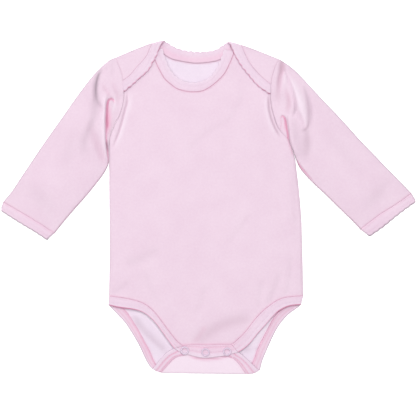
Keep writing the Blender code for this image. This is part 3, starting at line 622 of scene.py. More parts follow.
back_outline = joined(smooth_curve(BACK_NECK_SEAM), halves["left"], halves["right"][::-1])
back_folds = [*SHOULDERS.values(), CROTCH]


def lay_back(flat):
    """How the back is laid: by its folds, and with a soft fold of its own in each leg opening."""
    laid = lay_on_table(back_folds)(flat)
    laid[:, 2] += crease_effects(BACK_CREASES, flat[:, :2])[0]
    return laid


lay_panel(
    "back_panel", cut_cloth(back_outline, back_folds), back_outline, lay_back, back_seams, BACK_CREASES,
    painted_pale_beyond=CROTCH,
)

# --- Front panel ---------------------------------------------------------------------------------
# The front is cut from the same interlock and lies on the back. It reaches from under the shoulder
# laps to the placket, and its side seams are turned down to the back, where the two are overlocked.

LAP_CLEAR = 2
FRONT_NECK_SEAM = [
    (-61.2, 170), (-57, 158), (-48.5, 142), (-41, 134.9), (-32.8, 129.3), (-16.8, 126.4), (-2.3, 129.4),
    (14.4, 142.8), (22.4, 156), (28, 170),
]
FRONT_LEG_SEAM = {
    "right": [
        (-108.8, -95.6), (-96.4, -97.2), (-85.5, -99.1), (-76.8, -101.3), (-68.1, -105.1),
        (-61.6, -110.3), (-55, -117.6), (-48.5, -126.3), (-35.4, -143.4), (-27.6, -149.6),
    ],
    "left": [
        (103.4, -95.6), (88.7, -96.6), (80, -98.2), (72.4, -101.8), (64.7, -107.3), (58, -112.9),
        (50.6, -120.9), (39.5, -135.2), (32.1, -142.4), (25.3, -148.4),
    ],
}
PLACKET_SEAM = [(-27.6, -149.6), (-14, -148.6), (-2.4, -149), (10, -148.6), (25.3, -148.4)]


def lay_front(proud=0.0):
    """How the front panel and what edges it are laid, over the back and rolled down at the sides."""

    def lay(flat):
        x, y, depth = flat.T
        sign = np.sign(x)
        right, left = (np.interp(-y, -line[:, 1], line[:, 0]) for line in SIDE_LINES.values())
        edge = np.where(x > 0, left, -right)
        top = front_height(flat[:, :2]) + proud
        bend = abs(x) - edge + SIDE_ROLL
        turn = np.clip(bend / SIDE_ROLL, 0, math.pi / 2)
        share = roll_share(y) * (bend > 0) * (y >= SIDE_FOOT)
        plain = bulged(np.column_stack([x, y, top - depth]))
        arm = SIDE_ROLL - depth
        rolled = np.column_stack([
            sign * (edge - SIDE_ROLL + arm * np.sin(turn)), y, top - SIDE_ROLL + arm * np.cos(turn)
        ])
        return plain + (rolled - plain) * share[:, None]

    return lay


front_halves = {}
# The front's seams are painted with shade, and so are its rolled sides, where the cloth turns away from
# the light.
front_seams = [
    Seam(smooth_curve(FRONT_NECK_SEAM), 0.30, 0.2, 0.8),
    Seam(smooth_curve(PLACKET_SEAM), 0.22, 0.04, 2.0),
]
for side, sign, neck in (("right", -1, FRONT_NECK_SEAM[0]), ("left", 1, FRONT_NECK_SEAM[-1])):
    armhole = smooth_curve(ARMHOLE[side])
    armhole = armhole[SHOULDERS[side].measure(armhole)[1] < -SHOULDER_BEND - LAP_CLEAR]
    side_line = smooth_curve(SIDE_LINES[side])
    side_line[:, 0] += sign * SIDE_ROLL * (math.pi / 2 - 1) * roll_share(side_line[:, 1])
    leg_line = smooth_curve(FRONT_LEG_SEAM[side])
    front_halves[side] = joined([neck], armhole[:-1], side_line, leg_line)
    front_seams += [
        Seam(armhole, 0.06, 0.22, 0.8),
        Seam(leg_line, 0.20, 0.05, 0.9),
        Seam(side_line, 0.0, 0.30, 1.3),
    ]
front_outline = joined(
    smooth_curve(FRONT_NECK_SEAM), front_halves["left"], smooth_curve(PLACKET_SEAM)[::-1],
    front_halves["right"][::-1],
)
armhole_areas = [((-108.0, 62.0), (-86.0, 130.0)), ((62.0, 72.0), (90.0, 130.0))]
lay_panel(
    "front_panel", cut_cloth(front_outline, fine_areas=armhole_areas), front_outline, lay_front(),
    front_seams, BODY_CREASES,
)

# --- Neck bindings -------------------------------------------------------------------------------
# A doubled strip of the same knit edges the neck. Its outer edge is a picot, a fine scallop, and a
# twin needle has sewn it down with two rows of stitches. One strip goes round the front, under the
# laps. The other goes up one lap, round the back of the neck and down the other lap.

BINDING = 1.4
PROUD = 0.3
PICOT_PITCH = 6.5
PICOT_DEPTH = 1.0
RUNG = 1.1
STRIP_WIDTH = 10.5
STRIP_LEAST = 10.1
ACROSS = (0, 0.03, 0.07, 0.13, 0.18, 0.23, 0.3, 0.42, 0.54, 0.6, 0.66, 0.76, 0.84, 0.89, 0.93, 0.97, 1)
STITCH_ROWS = (0.18, 0.6)
STITCH_PITCH = 2.7
STITCH_LENGTH = 2.1
THREAD = 0.42
THREAD_SINK, UNDER_SINK = 0.1, 0.25
SEAM_SINK, SEAM_ROUND = 0.6, 0.8
LIP_SINK, LIP_ROUND = 0.45, 0.6
PICOT_SINK, PICOT_BAND = 0.25, (1.9, 1.2)
TROUGH_SINK, TROUGH_WIDTH, TROUGH_DIM = 0.16, 0.55, 0.3
PUCKER = 0.10
# Painted shade in a strip: its width by the seam, and where it comes in towards the edge. TROUGH_DIM above
# is the painted shade in a stitched trough.
TINT_WIDTH = 0.8
EDGE_TINT = (1.5, 0.7)
LAP_EDGE = {
    "right": [
        (-47.2, 182.3), (-52.2, 174), (-55.4, 166.2), (-59.8, 158.5), (-63.8, 151), (-69.8, 144.9),
        (-76.4, 139.3), (-82.9, 133.2), (-92.3, 125.6),
    ],
    "left": [
        (20.6, 181.1), (24.9, 172.6), (27.4, 166.9), (33.8, 156.1), (38.2, 150.1), (44.7, 142.3),
        (50.2, 135.8), (56.8, 129.8), (67.2, 122.8),
    ],
}
BACK_NECK_EDGE = [
    (-47.2, 182.3), (-38.6, 176.6), (-30.1, 173.2), (-20.6, 171.3), (-10, 170.5), (2, 171.3), (9, 173.4),
    (14.2, 176.8), (20.6, 181.1),
]
FRONT_NECK_EDGE = [
    (-49.6, 173.8), (-47.8, 166.3), (-41.4, 151.2), (-31.4, 140.9), (-16.8, 136.8), (-2, 140.8),
    (7.4, 150.4), (13.9, 164.6), (16.8, 173.2),
]

TRIM = knit("binding_knit", (0.800, 0.650, 0.760, 1), (0.735, 0.565, 0.690, 1), 0.00014)
TRIM_INSIDE = knit("binding_knit_inside", (0.805, 0.640, 0.750, 1), (0.745, 0.560, 0.685, 1), 0.00014)


def sewing_thread(name, colour):
    """Twisted polyester thread, a little glossier than the knit."""
    material, surface, start = new_material(name, Roughness=0.55)
    place = start.node("ShaderNodeTexCoord", output=3)
    plies = {"Vector": place, "Scale": 900.0, "Distortion": 2.0}
    twist = start.node("ShaderNodeTexWave", (), plies, output=1)
    dark = tuple(channel * 0.9 for channel in colour[:3]) + (1,)
    (twist * 0.5 + 0.5).mix(dark, colour).feed(surface, "Base Color")
    return material


PINK_THREAD = sewing_thread("pink_thread", (0.80, 0.60, 0.72, 1))


def reach_along(line):
    """How far along a chain of points each of them is."""
    return np.concatenate([[0], np.cumsum(np.linalg.norm(np.diff(line, axis=0), axis=1))])


def walk(line, shares):
    """The places that lie these shares of the way along a chain of points."""
    reach = reach_along(line)
    at = np.clip(shares, 0, 1) * reach[-1]
    return np.column_stack([np.interp(at, reach, line[:, 0]), np.interp(at, reach, line[:, 1])])


def rungs(runs, step=RUNG):
    """Pairs of points, one on the seam and one on the edge, down a strip given as runs of both lines."""
    seam_side, edge_side = [], []
    for seam_line, edge_line in runs:
        count = round(reach_along(edge_line)[-1] / step)
        shares = np.linspace(0, 1, count + 1)
        skip = int(bool(seam_side) and np.linalg.norm(seam_line[0] - seam_side[-1][-1]) <= 0.5)
        seam_side.append(walk(seam_line, shares)[skip:])
        edge_side.append(walk(edge_line, shares)[skip:])
    return np.vstack(seam_side), np.vstack(edge_side)


def scalloped(seam_side, edge_side):
    """The edge of a strip as a picot, drawn in between one scallop and the next."""
    reach = reach_along(edge_side)
    scallops = round(reach[-1] / PICOT_PITCH)
    wave = 1 - abs(np.sin(math.pi * scallops * reach / reach[-1]))
    inwards = seam_side - edge_side
    inwards /= np.linalg.norm(inwards, axis=1)[:, None]
    return edge_side + inwards * (PICOT_DEPTH * wave**1.4)[:, None]


def sew_row(bm, line, lay, depth):
    """Lays one row of stitches along a line on the flat cloth."""
    length = reach_along(line)[-1]
    count = round(length / STITCH_PITCH)
    middles = (np.arange(count) + 0.5) / count
    half = STITCH_LENGTH / length / 2
    ends = [walk(line, middles - half), walk(line, middles + half)]
    laid = [lay(np.column_stack([end, np.full(count, depth)])) for end in ends]
    deeper = lay(np.column_stack([walk(line, middles), np.full(count, depth + 1.0)]))
    for start, end, under in zip(*laid, deeper):
        along = Vector(end - start)
        middle = Vector((start + end) / 2)
        up = (middle - Vector(under)).normalized()
        aside = up.cross(along).normalized()
        turn = Matrix((along.normalized(), aside, along.normalized().cross(aside))).transposed().to_4x4()
        shape = Matrix.Diagonal((along.length / 2, THREAD / 2, THREAD / 2, 1))
        whole = Matrix.Translation(middle) @ turn @ shape
        bmesh.ops.create_uvsphere(bm, u_segments=6, v_segments=4, radius=1, matrix=whole)


def add_stitches(name, rows):
    """Rows of stitches, each a line on the flat cloth, how that cloth is laid, and the rows' depth."""
    bm = bmesh.new()
    for line, lay, depth in rows:
        sew_row(bm, line, lay, depth)
    places = [np.array(corner.co) for corner in bm.verts]
    return add_piece(name, bm, places, (), [PINK_THREAD])


# How rosy and how dim a strip is painted, as painted shade, by its seam, over its half by the seam, at
# its edge, where a strip that lies proud of the cloth under it casts a fine deep shadow that is painted
# there, and in its two stitched troughs. A negative value is paler, a painted highlight.
Look = namedtuple("Look", "seam_rose seam_dim band_rose edge_rose edge_dim row_rose", defaults=[0.0])


def bind(name, runs, lay, picot, looks, inside=None):
    """A doubled strip between a seam and an edge, sewn with a twin needle, and laid.

    looks has rows of a share along the strip and the Look of its face there. inside is the Look of
    the face that is turned to the body.
    """
    seam_side, edge_side = rungs(runs)
    middle = (seam_side + edge_side) / 2
    reach = reach_along(middle)
    width = np.linalg.norm(edge_side - seam_side, axis=1)
    if picot:
        edge_side = scalloped(seam_side, edge_side)
    last, rows = len(seam_side) - 1, len(ACROSS) - 1
    bm = bmesh.new()
    bmesh.ops.create_grid(bm, x_segments=last, y_segments=rows, size=0.5)
    thicken(bm, BINDING)
    column = np.array([round((corner.co.x + 0.5) * last) for corner in bm.verts])
    share = np.array(ACROSS)[[round((corner.co.y + 0.5) * rows) for corner in bm.verts]]
    under = np.array([corner.co.z > BINDING / 2 for corner in bm.verts])
    grain = bm.loops.layers.uv.new("cloth")
    bm.verts.index_update()
    for face in bm.faces:
        face.material_index = int(all(under[corner.index] for corner in face.verts))
        for loop in face.loops:
            i = loop.vert.index
            loop[grain].uv = (share[i] * STRIP_WIDTH, reach[column[i]])
    from_seam = share * width[column]
    from_edge = (1 - share) * width[column]
    depth = SEAM_SINK * (1 - rounded(from_seam, SEAM_ROUND))
    depth += LIP_SINK * (1 - rounded(from_edge, LIP_ROUND))
    if picot:
        depth += PICOT_SINK * ramp(*PICOT_BAND, from_edge)
    for stitched in STITCH_ROWS:
        depth += TROUGH_SINK * swell((share - stitched) * STRIP_WIDTH, TROUGH_WIDTH)
    puckers = np.sin(reach[column] * 2 * math.pi / STITCH_PITCH)
    depth -= PUCKER * puckers * ramp(0.1, 0.3, share) * ramp(1.0, 0.8, share)
    depth = np.where(under, BINDING - np.minimum(depth, SEAM_SINK) * 0.6, depth)
    flat = np.column_stack([seam_side[column] + (edge_side - seam_side)[column] * share[:, None], depth])
    shares, table = zip(*looks)
    face = [np.interp(reach[column] / reach[-1], shares, values) for values in zip(*table)]
    look = Look(*(np.where(under, other, value) for other, value in zip(inside or table[0], face)))
    # The painted shade and painted highlight of the strip, from its Looks.
    by_seam = swell(from_seam, TINT_WIDTH)
    by_edge = ramp(*EDGE_TINT, from_edge)
    if picot:
        by_edge = by_edge * (0.75 + 0.35 * np.cos(reach[column] * 2 * math.pi / PICOT_PITCH))
    rose = np.maximum(look.seam_rose * by_seam, look.band_rose * ramp(0.75, 0.3, share))
    rose += look.edge_rose * by_edge
    dim = look.seam_dim * by_seam + look.edge_dim * by_edge
    for stitched in STITCH_ROWS:
        trough = look.row_rose * swell((share - stitched) * width[column], TINT_WIDTH)
        rose += trough
        dim += TROUGH_DIM * trough
    piece = add_piece(f"{name}_cloth", bm, lay(flat), (rose, dim), [TRIM, TRIM_INSIDE])
    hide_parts(name)
    lines = [seam_side + (edge_side - seam_side) * stitched for stitched in STITCH_ROWS]
    sewn = [(line, lay, depth) for depth in (THREAD_SINK, BINDING - UNDER_SINK) for line in lines]
    stitches = add_stitches(f"{name}_stitches", sewn)


# Its seam is painted with rosy shade, and its picot edge is painted paler, a painted highlight.
bind(
    "front_neck_binding", [(smooth_curve(FRONT_NECK_SEAM, 1), smooth_curve(FRONT_NECK_EDGE, 1))],
    lay_front(PROUD), True, [(0, Look(0.32, 0.12, 0.03, 0.0, -0.35))],
)
neck_runs = []
for side in ("right", "left"):
    run = [SHOULDERS[side].unfold(smooth_curve(table[side], 1)) for table in (LAP_SEAM, LAP_EDGE)]
    neck_runs.append([line[::-1] for line in run] if side == "right" else run)
neck_runs.insert(1, [smooth_curve(BACK_NECK_SEAM, 1), smooth_curve(BACK_NECK_EDGE, 1)])
# The laps' picot edges are painted with the shadow they cast on the front, deepest at the lap ends; round
# the nape the edge is painted only a little dimmer.
LAP_LOOK = Look(0.06, 0.05, 0.02, 0.55, 0.18)
LAP_END_LOOK = LAP_LOOK._replace(edge_rose=0.8, edge_dim=0.6)
NECK_END_LOOK = LAP_LOOK._replace(edge_rose=0.7, edge_dim=0.6)
NAPE_LOOK = Look(0.10, 0.06, 0.0, 0.0, 0.15)
bind(
    "back_neck_binding", neck_runs, lay_on_table(list(SHOULDERS.values()), PROUD), True,
    [
        (0.0, LAP_END_LOOK), (0.06, LAP_LOOK), (0.20, LAP_LOOK), (0.27, NECK_END_LOOK), (0.33, NAPE_LOOK),
        (0.67, NAPE_LOOK), (0.73, NECK_END_LOOK), (0.80, LAP_LOOK), (0.94, LAP_LOOK), (1.0, LAP_END_LOOK),
    ],
    inside=Look(0.2, 0.40, 0.13, 0.0, 0.15),
)

# --- Leg bindings --------------------------------------------------------------------------------
# A doubled strip round each leg opening, without a picot. It runs along the front, turns the hip at
# the side seam, goes down the back and, past the fold of the crotch, up the edge of the flap.

HIP_BEND = 1.6
HIP_FOLD = {
    "right": [(-108.8, -95.6), (-109.3, -105.8)],
    "left": [(103.4, -95.6), (101.2, -105.4)],
}
FRONT_LEG_EDGE = {
    "right": [
        (-109.3, -105.8), (-98.6, -108.2), (-82.3, -110.4), (-74.6, -112.2), (-68.1, -115.4),
        (-61.6, -120.9), (-55, -128.5), (-44.2, -143.7), (-37.1, -152.8),
    ],
    "left": [
        (101.2, -105.4), (88.7, -106.7), (80, -110), (72.4, -115.4), (62.6, -126.3), (53.8, -136.1),
        (45.1, -147), (37.5, -153.5), (32.1, -156.8),
    ],
}
BACK_LEG_EDGE = {
    "right": [
        (-109.3, -105.8), (-98.9, -116.5), (-89.5, -127.2), (-76.5, -148.6), (-67.3, -169),
        (-61.9, -179.7),
    ],
    "left": [
        (101.2, -105.4), (96.2, -109.4), (87.6, -115.7), (79.9, -124), (72.8, -134.9), (63.4, -155.4),
        (58.2, -169.2), (56, -181.4),
    ],
}
FLAP_EDGE = {
    "right": [
        (-61.9, -179.7), (-57.2, -171.4), (-52.9, -165.4), (-46.3, -158.4), (-40.9, -154.6),
        (-35.4, -151.2), (-29.6, -144),
    ],
    "left": [(56, -181.4), (50.6, -173.6), (45.1, -167.7), (38.6, -161.7), (32.1, -155.6), (27, -145)],
}
# From the placket end round the hip and up the flap: the front's edge painted with the shadow it casts,
# deepest at the hip, and the flap's edge and stitched troughs painted with highlight and rosy shade.
LEG_LOOKS = [
    (0, Look(0.22, 0.05, 0.06, 0.55, 0, 0.15)),
    (0.05, Look(0.22, 0.05, 0.03, 0.40, 0.05, 0.05)),
    (0.22, Look(0.22, 0.05, 0.03, 0.35, 0.10, 0)),
    (0.29, Look(0.2, 0.05, 0.03, 0.95, 0.40, 0)),
    (0.38, Look(0.2, 0.05, 0.03, 0.95, 0.45, 0)),
    (0.41, Look(0.2, 0.05, 0.03, 0, 0.30, 0)),
    (0.82, Look(0.25, 0.10, 0.05, 0, -0.10, 0.40)),
    (1, Look(0.42, 0.42, 0.05, 0, -0.35, 0.72)),
]
for side in ("right", "left"):
    hip = Fold(HIP_FOLD[side], HIP_BEND, front_rise, margin=90.0)
    bind(
        f"leg_binding_{side}",
        [
            [hip.unfold(smooth_curve(table[side], 1))[::-1] for table in (FRONT_LEG_SEAM, FRONT_LEG_EDGE)],
            [smooth_curve(table[side], 1) for table in (BACK_LEG_SEAM, BACK_LEG_EDGE)],
            [CROTCH.unfold(smooth_curve(table[side], 1)) for table in (FLAP_SEAM, FLAP_EDGE)],
        ],
        lay_on_table([hip, CROTCH], PROUD), False, LEG_LOOKS,
        inside=Look(0.36, 0.0, 0.07, 0.0, 0.34, 0.20),
    )

# --- Placket -------------------------------------------------------------------------------------
# The strip that ends the front at the crotch. It is doubled to carry the snaps, hangs a little low in
# its middle and lies on the flap.

PLACKET_EDGE = [
    (-37.1, -152.8), (-30, -156.7), (-21.8, -159.3), (-14.8, -161.3), (-8, -162.7), (-1.7, -163),
    (7, -162), (16.8, -160.6), (32.1, -156.8),
]
# Its edge is painted paler, a painted highlight, over the painted shadow it casts on the flap.
bind(
    "front_placket", [(smooth_curve(PLACKET_SEAM, 1), smooth_curve(PLACKET_EDGE, 1))],
    lay_front(PROUD), False, [(0, Look(0.10, 0.0, 0.11, 0.0, -0.35, 0.16))],
)

# --- Sleeves -------------------------------------------------------------------------------------
# Each sleeve is one cut of interlock closed under the arm into a tube, which lies flattened. It keeps
# the long folds that run down from the shoulder and, in the armpit, the fold that laps the body.

TUBE_EDGE = 2.4
TUBE_LEAST = 2.5
END_ROUND = 0.3
WALL_CROWDING = 1.15
SLEEVE_CROWN = 2.6
SLEEVE_AROUND = 168
SLEEVE_ON_TOP = 132
SLEEVE_RINGS = 200
RING_CROWDING = 1.3
SLEEVE_FADE = 12
TUCKED_UNDER = 1.2
LAPPED_OVER = 0.15
LAP_SPAN = (0.22, 0.15)
SLEEVE_OUTER = {
    "right": [
        (-101.1, 163.9), (-108.7, 160.7), (-122.9, 147.7), (-135.4, 132.3), (-146, 118), (-159.3, 98.9),
        (-172, 81), (-183.1, 65), (-205.2, 32.1), (-214.2, 18.5), (-224, 6.6),
    ],
    "left": [
        (79, 161.2), (90.6, 153.1), (101.9, 142.2), (122.1, 120.4), (144.2, 97.2), (165.2, 73.9),
        (176.8, 62), (188.6, 49.6), (204.9, 33), (221.4, 15.9),
    ],
}
SLEEVE_INNER = {
    "right": [
        (-108.9, 75.2), (-108.7, 62.6), (-109, 49), (-114, 38), (-124.1, 24.5), (-134.8, 11.4),
        (-146.2, -1.4), (-157.8, -15), (-167.8, -27.4),
    ],
    "left": [
        (87.3, 74.8), (91.2, 64), (94.9, 54.6), (101, 41.3), (116.4, 24.9), (126.5, 15.5), (136.7, 5.5),
        (147.4, -5), (157.8, -15.1), (165.6, -23.4),
    ],
}
CUFF_SEAM = {
    "right": [(-224, 6.6), (-193.6, -11), (-167.8, -27.4)],
    "left": [(221.4, 15.9), (203.6, 3.6), (187.3, -6.6), (172.2, -17.9), (165.6, -23.4)],
}
# The sleeves' creases paint shade into their valleys, rosiest deep in the armpit folds, and paint
# highlights on their ridges and lips, where the dim is negative.
SLEEVE_CREASES = {}
SLEEVE_CREASES["right"] = [
    Crease(-0.6, 1.2, 1.3, 0, 0.34, [
        (-117.1, 150.3, 0.2), (-119.9, 144.8, 0.9), (-121.9, 138.3, 1), (-122.8, 131.8, 1),
        (-122.9, 125.2, 0.9), (-122.3, 118.7, 0.6), (-120.4, 113.2, 0.2),
    ]),
    Crease(-2.2, 2.6, 2.6, 0, 0.4, [
        (-117.1, 149.2, 0.3, 0.7), (-120.4, 143.7, 0.8, 0.8), (-122.7, 135, 1, 1), (-123.3, 127.4, 1, 1),
        (-122.8, 119.8, 0.85, 1.3), (-122.6, 113.2, 0.62, 1.9), (-123.6, 105.6, 0.42, 1.9),
        (-125.3, 98, 0.4, 1.5), (-128, 90.4, 0.5, 1.3), (-130.7, 83.8, 0.45, 1.4),
        (-133.4, 77.3, 0.4, 1.7), (-135.1, 70.8, 0.38, 1.8), (-135.1, 63.2, 0.25, 2),
        (-133.4, 54.4, 0.05, 2),
    ]),
    Crease(-0.8, 2.4, 2.4, 0.03, 0.16, [
        (-120.4, 116.5, 0.1), (-118.2, 112.2, 1), (-116.2, 107.8, 0.9), (-114.4, 102.4, 0.1),
    ]),
    Crease(-0.9, 2.2, 2.2, 0.07, 0.1, [
        (-116, 135, 0.2), (-112.2, 129, 1), (-108.9, 124.1, 1), (-106.2, 119.8, 0.6),
    ]),
    Crease(-0.8, 2.4, 2.4, 0.06, 0.08, [
        (-104.6, 136.1, 0.3), (-101.3, 128.5, 1), (-98.6, 118.7, 0.8), (-98.1, 111.1, 0.2),
    ]),
    Crease(-0.6, 2.4, 2.4, 0, 0.06, [(-105.1, 161.2, 0.4), (-104.6, 152.4, 1), (-105.1, 142.6, 0.4)]),
    Crease(-1.6, 4.2, 4.2, 0.07, 0.14, [
        (-129.1, 89.3, 0.2, 1), (-125.8, 81.7, 0.7, 1), (-122, 71.9, 1, 1), (-118.7, 63.2, 1, 1),
        (-116, 55.5, 0.9, 0.8), (-113.8, 49, 0.4, 0.6),
    ]),
    Crease(1.6, 3.5, 1.3, 0, -0.35, [
        (-109.5, 126.3, 0.2), (-112.2, 118.7, 0.8), (-113.1, 111.1, 1), (-113.3, 102.4, 1),
        (-113.8, 91.5, 1), (-113.5, 80.6, 1), (-113.1, 69.7, 0.9), (-112.2, 61, 0.6), (-111.1, 52.3, 0.2),
    ]),
    Crease(-2.6, 1, 1.1, 0.75, 0.33, [
        (-102.4, 114.9, 0.2, 1), (-103.5, 117.6, 0.6, 1), (-105.9, 118.9, 0.8, 1),
        (-108.2, 117.8, 0.8, 1), (-109.6, 114.9, 0.9, 1), (-110.3, 110, 0.9, 1), (-110.6, 103.4, 0.9, 1),
        (-110.9, 96.9, 1, 1), (-110.8, 89.3, 0.9, 1), (-111.2, 83.8, 0.55, 0.8), (-111.2, 76.2, 0.5, 0.7),
        (-110.8, 69.7, 0.7, 0.7), (-110.1, 63.2, 0.7, 0.7), (-109.7, 57.7, 0.5, 0.7),
        (-109.2, 52.3, 0.4, 0.7), (-109.5, 46.8, 0.2, 0.7),
    ]),
    Crease(-0.3, 0.9, 0.9, 0, 0.4, [
        (-110.6, 73, 0.2), (-110.6, 69.7, 1), (-110.4, 65.3, 1), (-110, 62.1, 0.2),
    ]),
    Crease(-0.6, 0.9, 3, 0.46, 0, [
        (-109.5, 116.5, 0.1, 0.6), (-109.4, 110, 0.5, 0.8), (-109.5, 102.4, 0.9, 1),
        (-109.7, 95.8, 1, 1.1), (-109.7, 89.3, 0.9, 1.1), (-110.1, 83.8, 0.5, 0.9),
        (-110.1, 78.4, 0.2, 0.6),
    ]),
    Crease(-0.3, 1.2, 1.6, 0.62, 0.06, [
        (-109.6, 100.2, 0.2), (-109.7, 94.7, 1), (-109.7, 89.3, 1), (-110, 84.9, 0.2),
    ]),
    Crease(0, 1.3, 1.3, 0, -0.4, [
        (-102.1, 123, 0.3), (-102.4, 116.5, 1), (-102.4, 111.1, 1), (-104.6, 104.5, 0.4),
    ]),
    Crease(-0.8, 9, 9, 0, 0.05, [
        (-141, 92, 0, 0.6), (-146, 76, 0.6, 0.9), (-151, 60, 1, 1), (-156, 44, 0.6, 0.9),
        (-160, 28, 0, 0.6),
    ]),
    Crease(-0.8, 9, 9, 0, 0.07, [
        (-197, 29, 0, 0.6), (-190, 19, 0.6, 0.9), (-182, 9, 1, 1), (-173, -2, 0.6, 0.9),
        (-165, -12, 0, 0.6),
    ]),
]
SLEEVE_CREASES["left"] = [
    Crease(-2, 2.4, 2.4, 0.2, 0.34, [
        (80.3, 159, 0.6, 1.3), (80.2, 153.5, 1, 1.3), (79.5, 149.2, 1, 1.2), (78.2, 144.8, 0.9, 1),
        (77, 139.4, 0.8, 1), (76.3, 132.8, 0.6, 1), (75.8, 126.3, 0.4, 1.1), (75.4, 119.8, 0.25, 1.2),
        (74.9, 113.2, 0.1, 1.2),
    ]),
    Crease(0.6, 2.4, 2.4, 0, -0.3, [
        (83.8, 150.3, 0.3), (83.2, 143.7, 1), (82.7, 137.2, 0.8), (81.1, 128.5, 0.3),
    ]),
    Crease(-0.9, 2.6, 2.6, 0.12, 0.14, [
        (84.3, 127.4, 0.3), (86.5, 120.9, 1), (87.4, 114.3, 1), (86.3, 108.9, 0.8), (84.9, 104.5, 0.3),
    ]),
    Crease(-2.2, 1.4, 1.8, 0, 0.5, [
        (83.2, 150.3, 0.4, 0.9), (86.5, 141.6, 0.7, 1), (89.8, 131.8, 0.8, 1), (92.5, 123, 0.85, 1),
        (94.1, 115.4, 0.85, 1), (94.7, 108.9, 0.8, 1), (93.6, 104.5, 0.55, 1), (92.5, 101.3, 0.2, 1),
    ]),
    Crease(-1.2, 1.8, 1.8, 0, 0.26, [
        (95.2, 108.9, 0.1), (98.5, 101.3, 0.9), (102.8, 91.5, 0.8), (103.9, 86, 0.3),
    ]),
    Crease(2.4, 4.8, 4.2, 0, -0.55, [
        (86.5, 143.7, 0.3, 0.7), (90.9, 135, 0.9, 0.9), (96.3, 123, 1, 1.1), (100.1, 112.2, 1, 1.2),
        (102.8, 101.3, 0.8, 1), (106.1, 88.2, 0.3, 0.8),
    ]),
    Crease(-2, 3, 2.6, 0, 0.28, [
        (105, 130.7, 0.3, 0.9), (108.3, 119.8, 0.8, 1), (109.9, 110, 1, 1), (110.5, 101.3, 1, 1),
        (110, 93.6, 0.8, 1), (109.4, 87.1, 0.5, 1), (108.3, 80.6, 0.2, 1),
    ]),
    Crease(-0.5, 1.5, 1.5, 0.04, 0.26, [
        (109.4, 94.7, 0.2), (107.6, 88.2, 1), (104.5, 84.6, 1), (101.8, 83.8, 0.3),
    ]),
    Crease(-0.5, 6, 6, 0, 0.08, [(89.8, 98, 0.3), (94.1, 82.8, 1), (99.6, 67.5, 1), (106.1, 52.3, 0.3)]),
    Crease(-0.9, 4.2, 4.2, 0.03, 0.22, [
        (106.1, 82.8, 0.5, 0.8), (107.2, 74, 1, 1), (107.2, 63.2, 0.8, 1), (105, 54.4, 0.2, 1),
    ]),
    Crease(-2.6, 0.9, 0.9, 0.72, 0.3, [
        (78.9, 98.5, 0.3, 0.8), (80.5, 100.2, 0.6, 0.9), (82.7, 98, 0.9, 1), (83.8, 94.7, 1, 1),
        (84.7, 89.3, 1, 1), (85.4, 84.9, 0.9, 1), (86.3, 80.6, 0.9, 1), (86.7, 74, 0.9, 1),
        (87.6, 68.6, 1, 1), (88.7, 65.3, 1, 1), (90.9, 61, 1, 1), (93, 55.5, 0.9, 1),
        (95.2, 52.3, 0.8, 1), (99.6, 45.7, 0.8, 1), (105, 39.2, 0.6, 1), (112.6, 30.5, 0.2, 1),
    ]),
    Crease(-0.3, 1.2, 1.2, 0.3, 0, [(82.5, 96.9, 0.5), (83, 90.4, 1), (83.2, 83.8, 0.4)]),
    Crease(-0.5, 0.8, 0.8, 0.15, 0.05, [
        (79.4, 100.2, 0.4), (78.9, 95.8, 1), (79.2, 91.5, 1), (78.7, 87.1, 1), (78.9, 83.8, 0.3),
    ]),
    Crease(2, 6, 1.3, 0, -0.06, [(86, 102.8), (88.2, 87.8), (89.6, 75.8), (92.1, 66), (96.2, 55.4)]),
    Crease(-0.6, 7, 7, 0, 0.05, [
        (124, 88, 0, 0.6), (137, 74, 0.6, 0.9), (150, 58, 1, 1), (160, 46, 0.6, 0.9), (172, 32, 0, 0.6),
    ]),
    Crease(-0.8, 7, 7, 0, 0.07, [
        (201, 35, 0, 0.6), (193, 24, 0.6, 0.9), (185, 13, 1, 1), (176, 4, 0.6, 0.9), (168, -4, 0, 0.6),
    ]),
]

# How much painted rose shade the lower edge of a sleeve has, where it is turned to the body.
UNDER_PAINTED_ROSE = {"right": 0.15, "left": 0.12}


class Patch:
    """A stretch of table between four curves: a near end, a far end, an outer and an inner edge.

    fade is how fast the lines across it lose the bow of its ends, 1 for evenly all the way.
    """

    def __init__(self, near, far, outer, inner, fade=1):
        lines = (smooth_curve(line, 1) for line in (near, far, outer, inner))
        self.near, self.far, self.outer, self.inner = lines
        self.length = reach_along(self.outer)[-1]
        self.fade = fade

    def at(self, along, across):
        """The places these shares along from the near end and these shares across from the outer edge."""
        u, v = along[:, None], across[:, None]
        near_bow = walk(self.near, across) - self.near[0] * (1 - v) - self.near[-1] * v
        far_bow = walk(self.far, across) - self.far[0] * (1 - v) - self.far[-1] * v
        straight = walk(self.outer, along) * (1 - v) + walk(self.inner, along) * v
        return straight + near_bow * (1 - u) ** self.fade + far_bow * u**self.fade

    def width(self, along):
        ends = (self.at(along, np.full(len(along), share)) for share in (0.0, 1.0))
        return np.linalg.norm(np.subtract(*ends), axis=1)

    def area(self, steps=60):
        """The area inside the four curves."""
        rise, none, full = np.arange(steps) / steps, np.zeros(steps), np.ones(steps)
        sides = [(none, rise), (rise, full), (full, 1 - rise), (1 - rise, none)]
        x, y = np.vstack([self.at(along, across) for along, across in sides]).T
        return float(abs(x @ np.roll(y, 1) - y @ np.roll(x, 1)) / 2)


Tube = namedtuple("Tube", "bm along across on_top within turn")


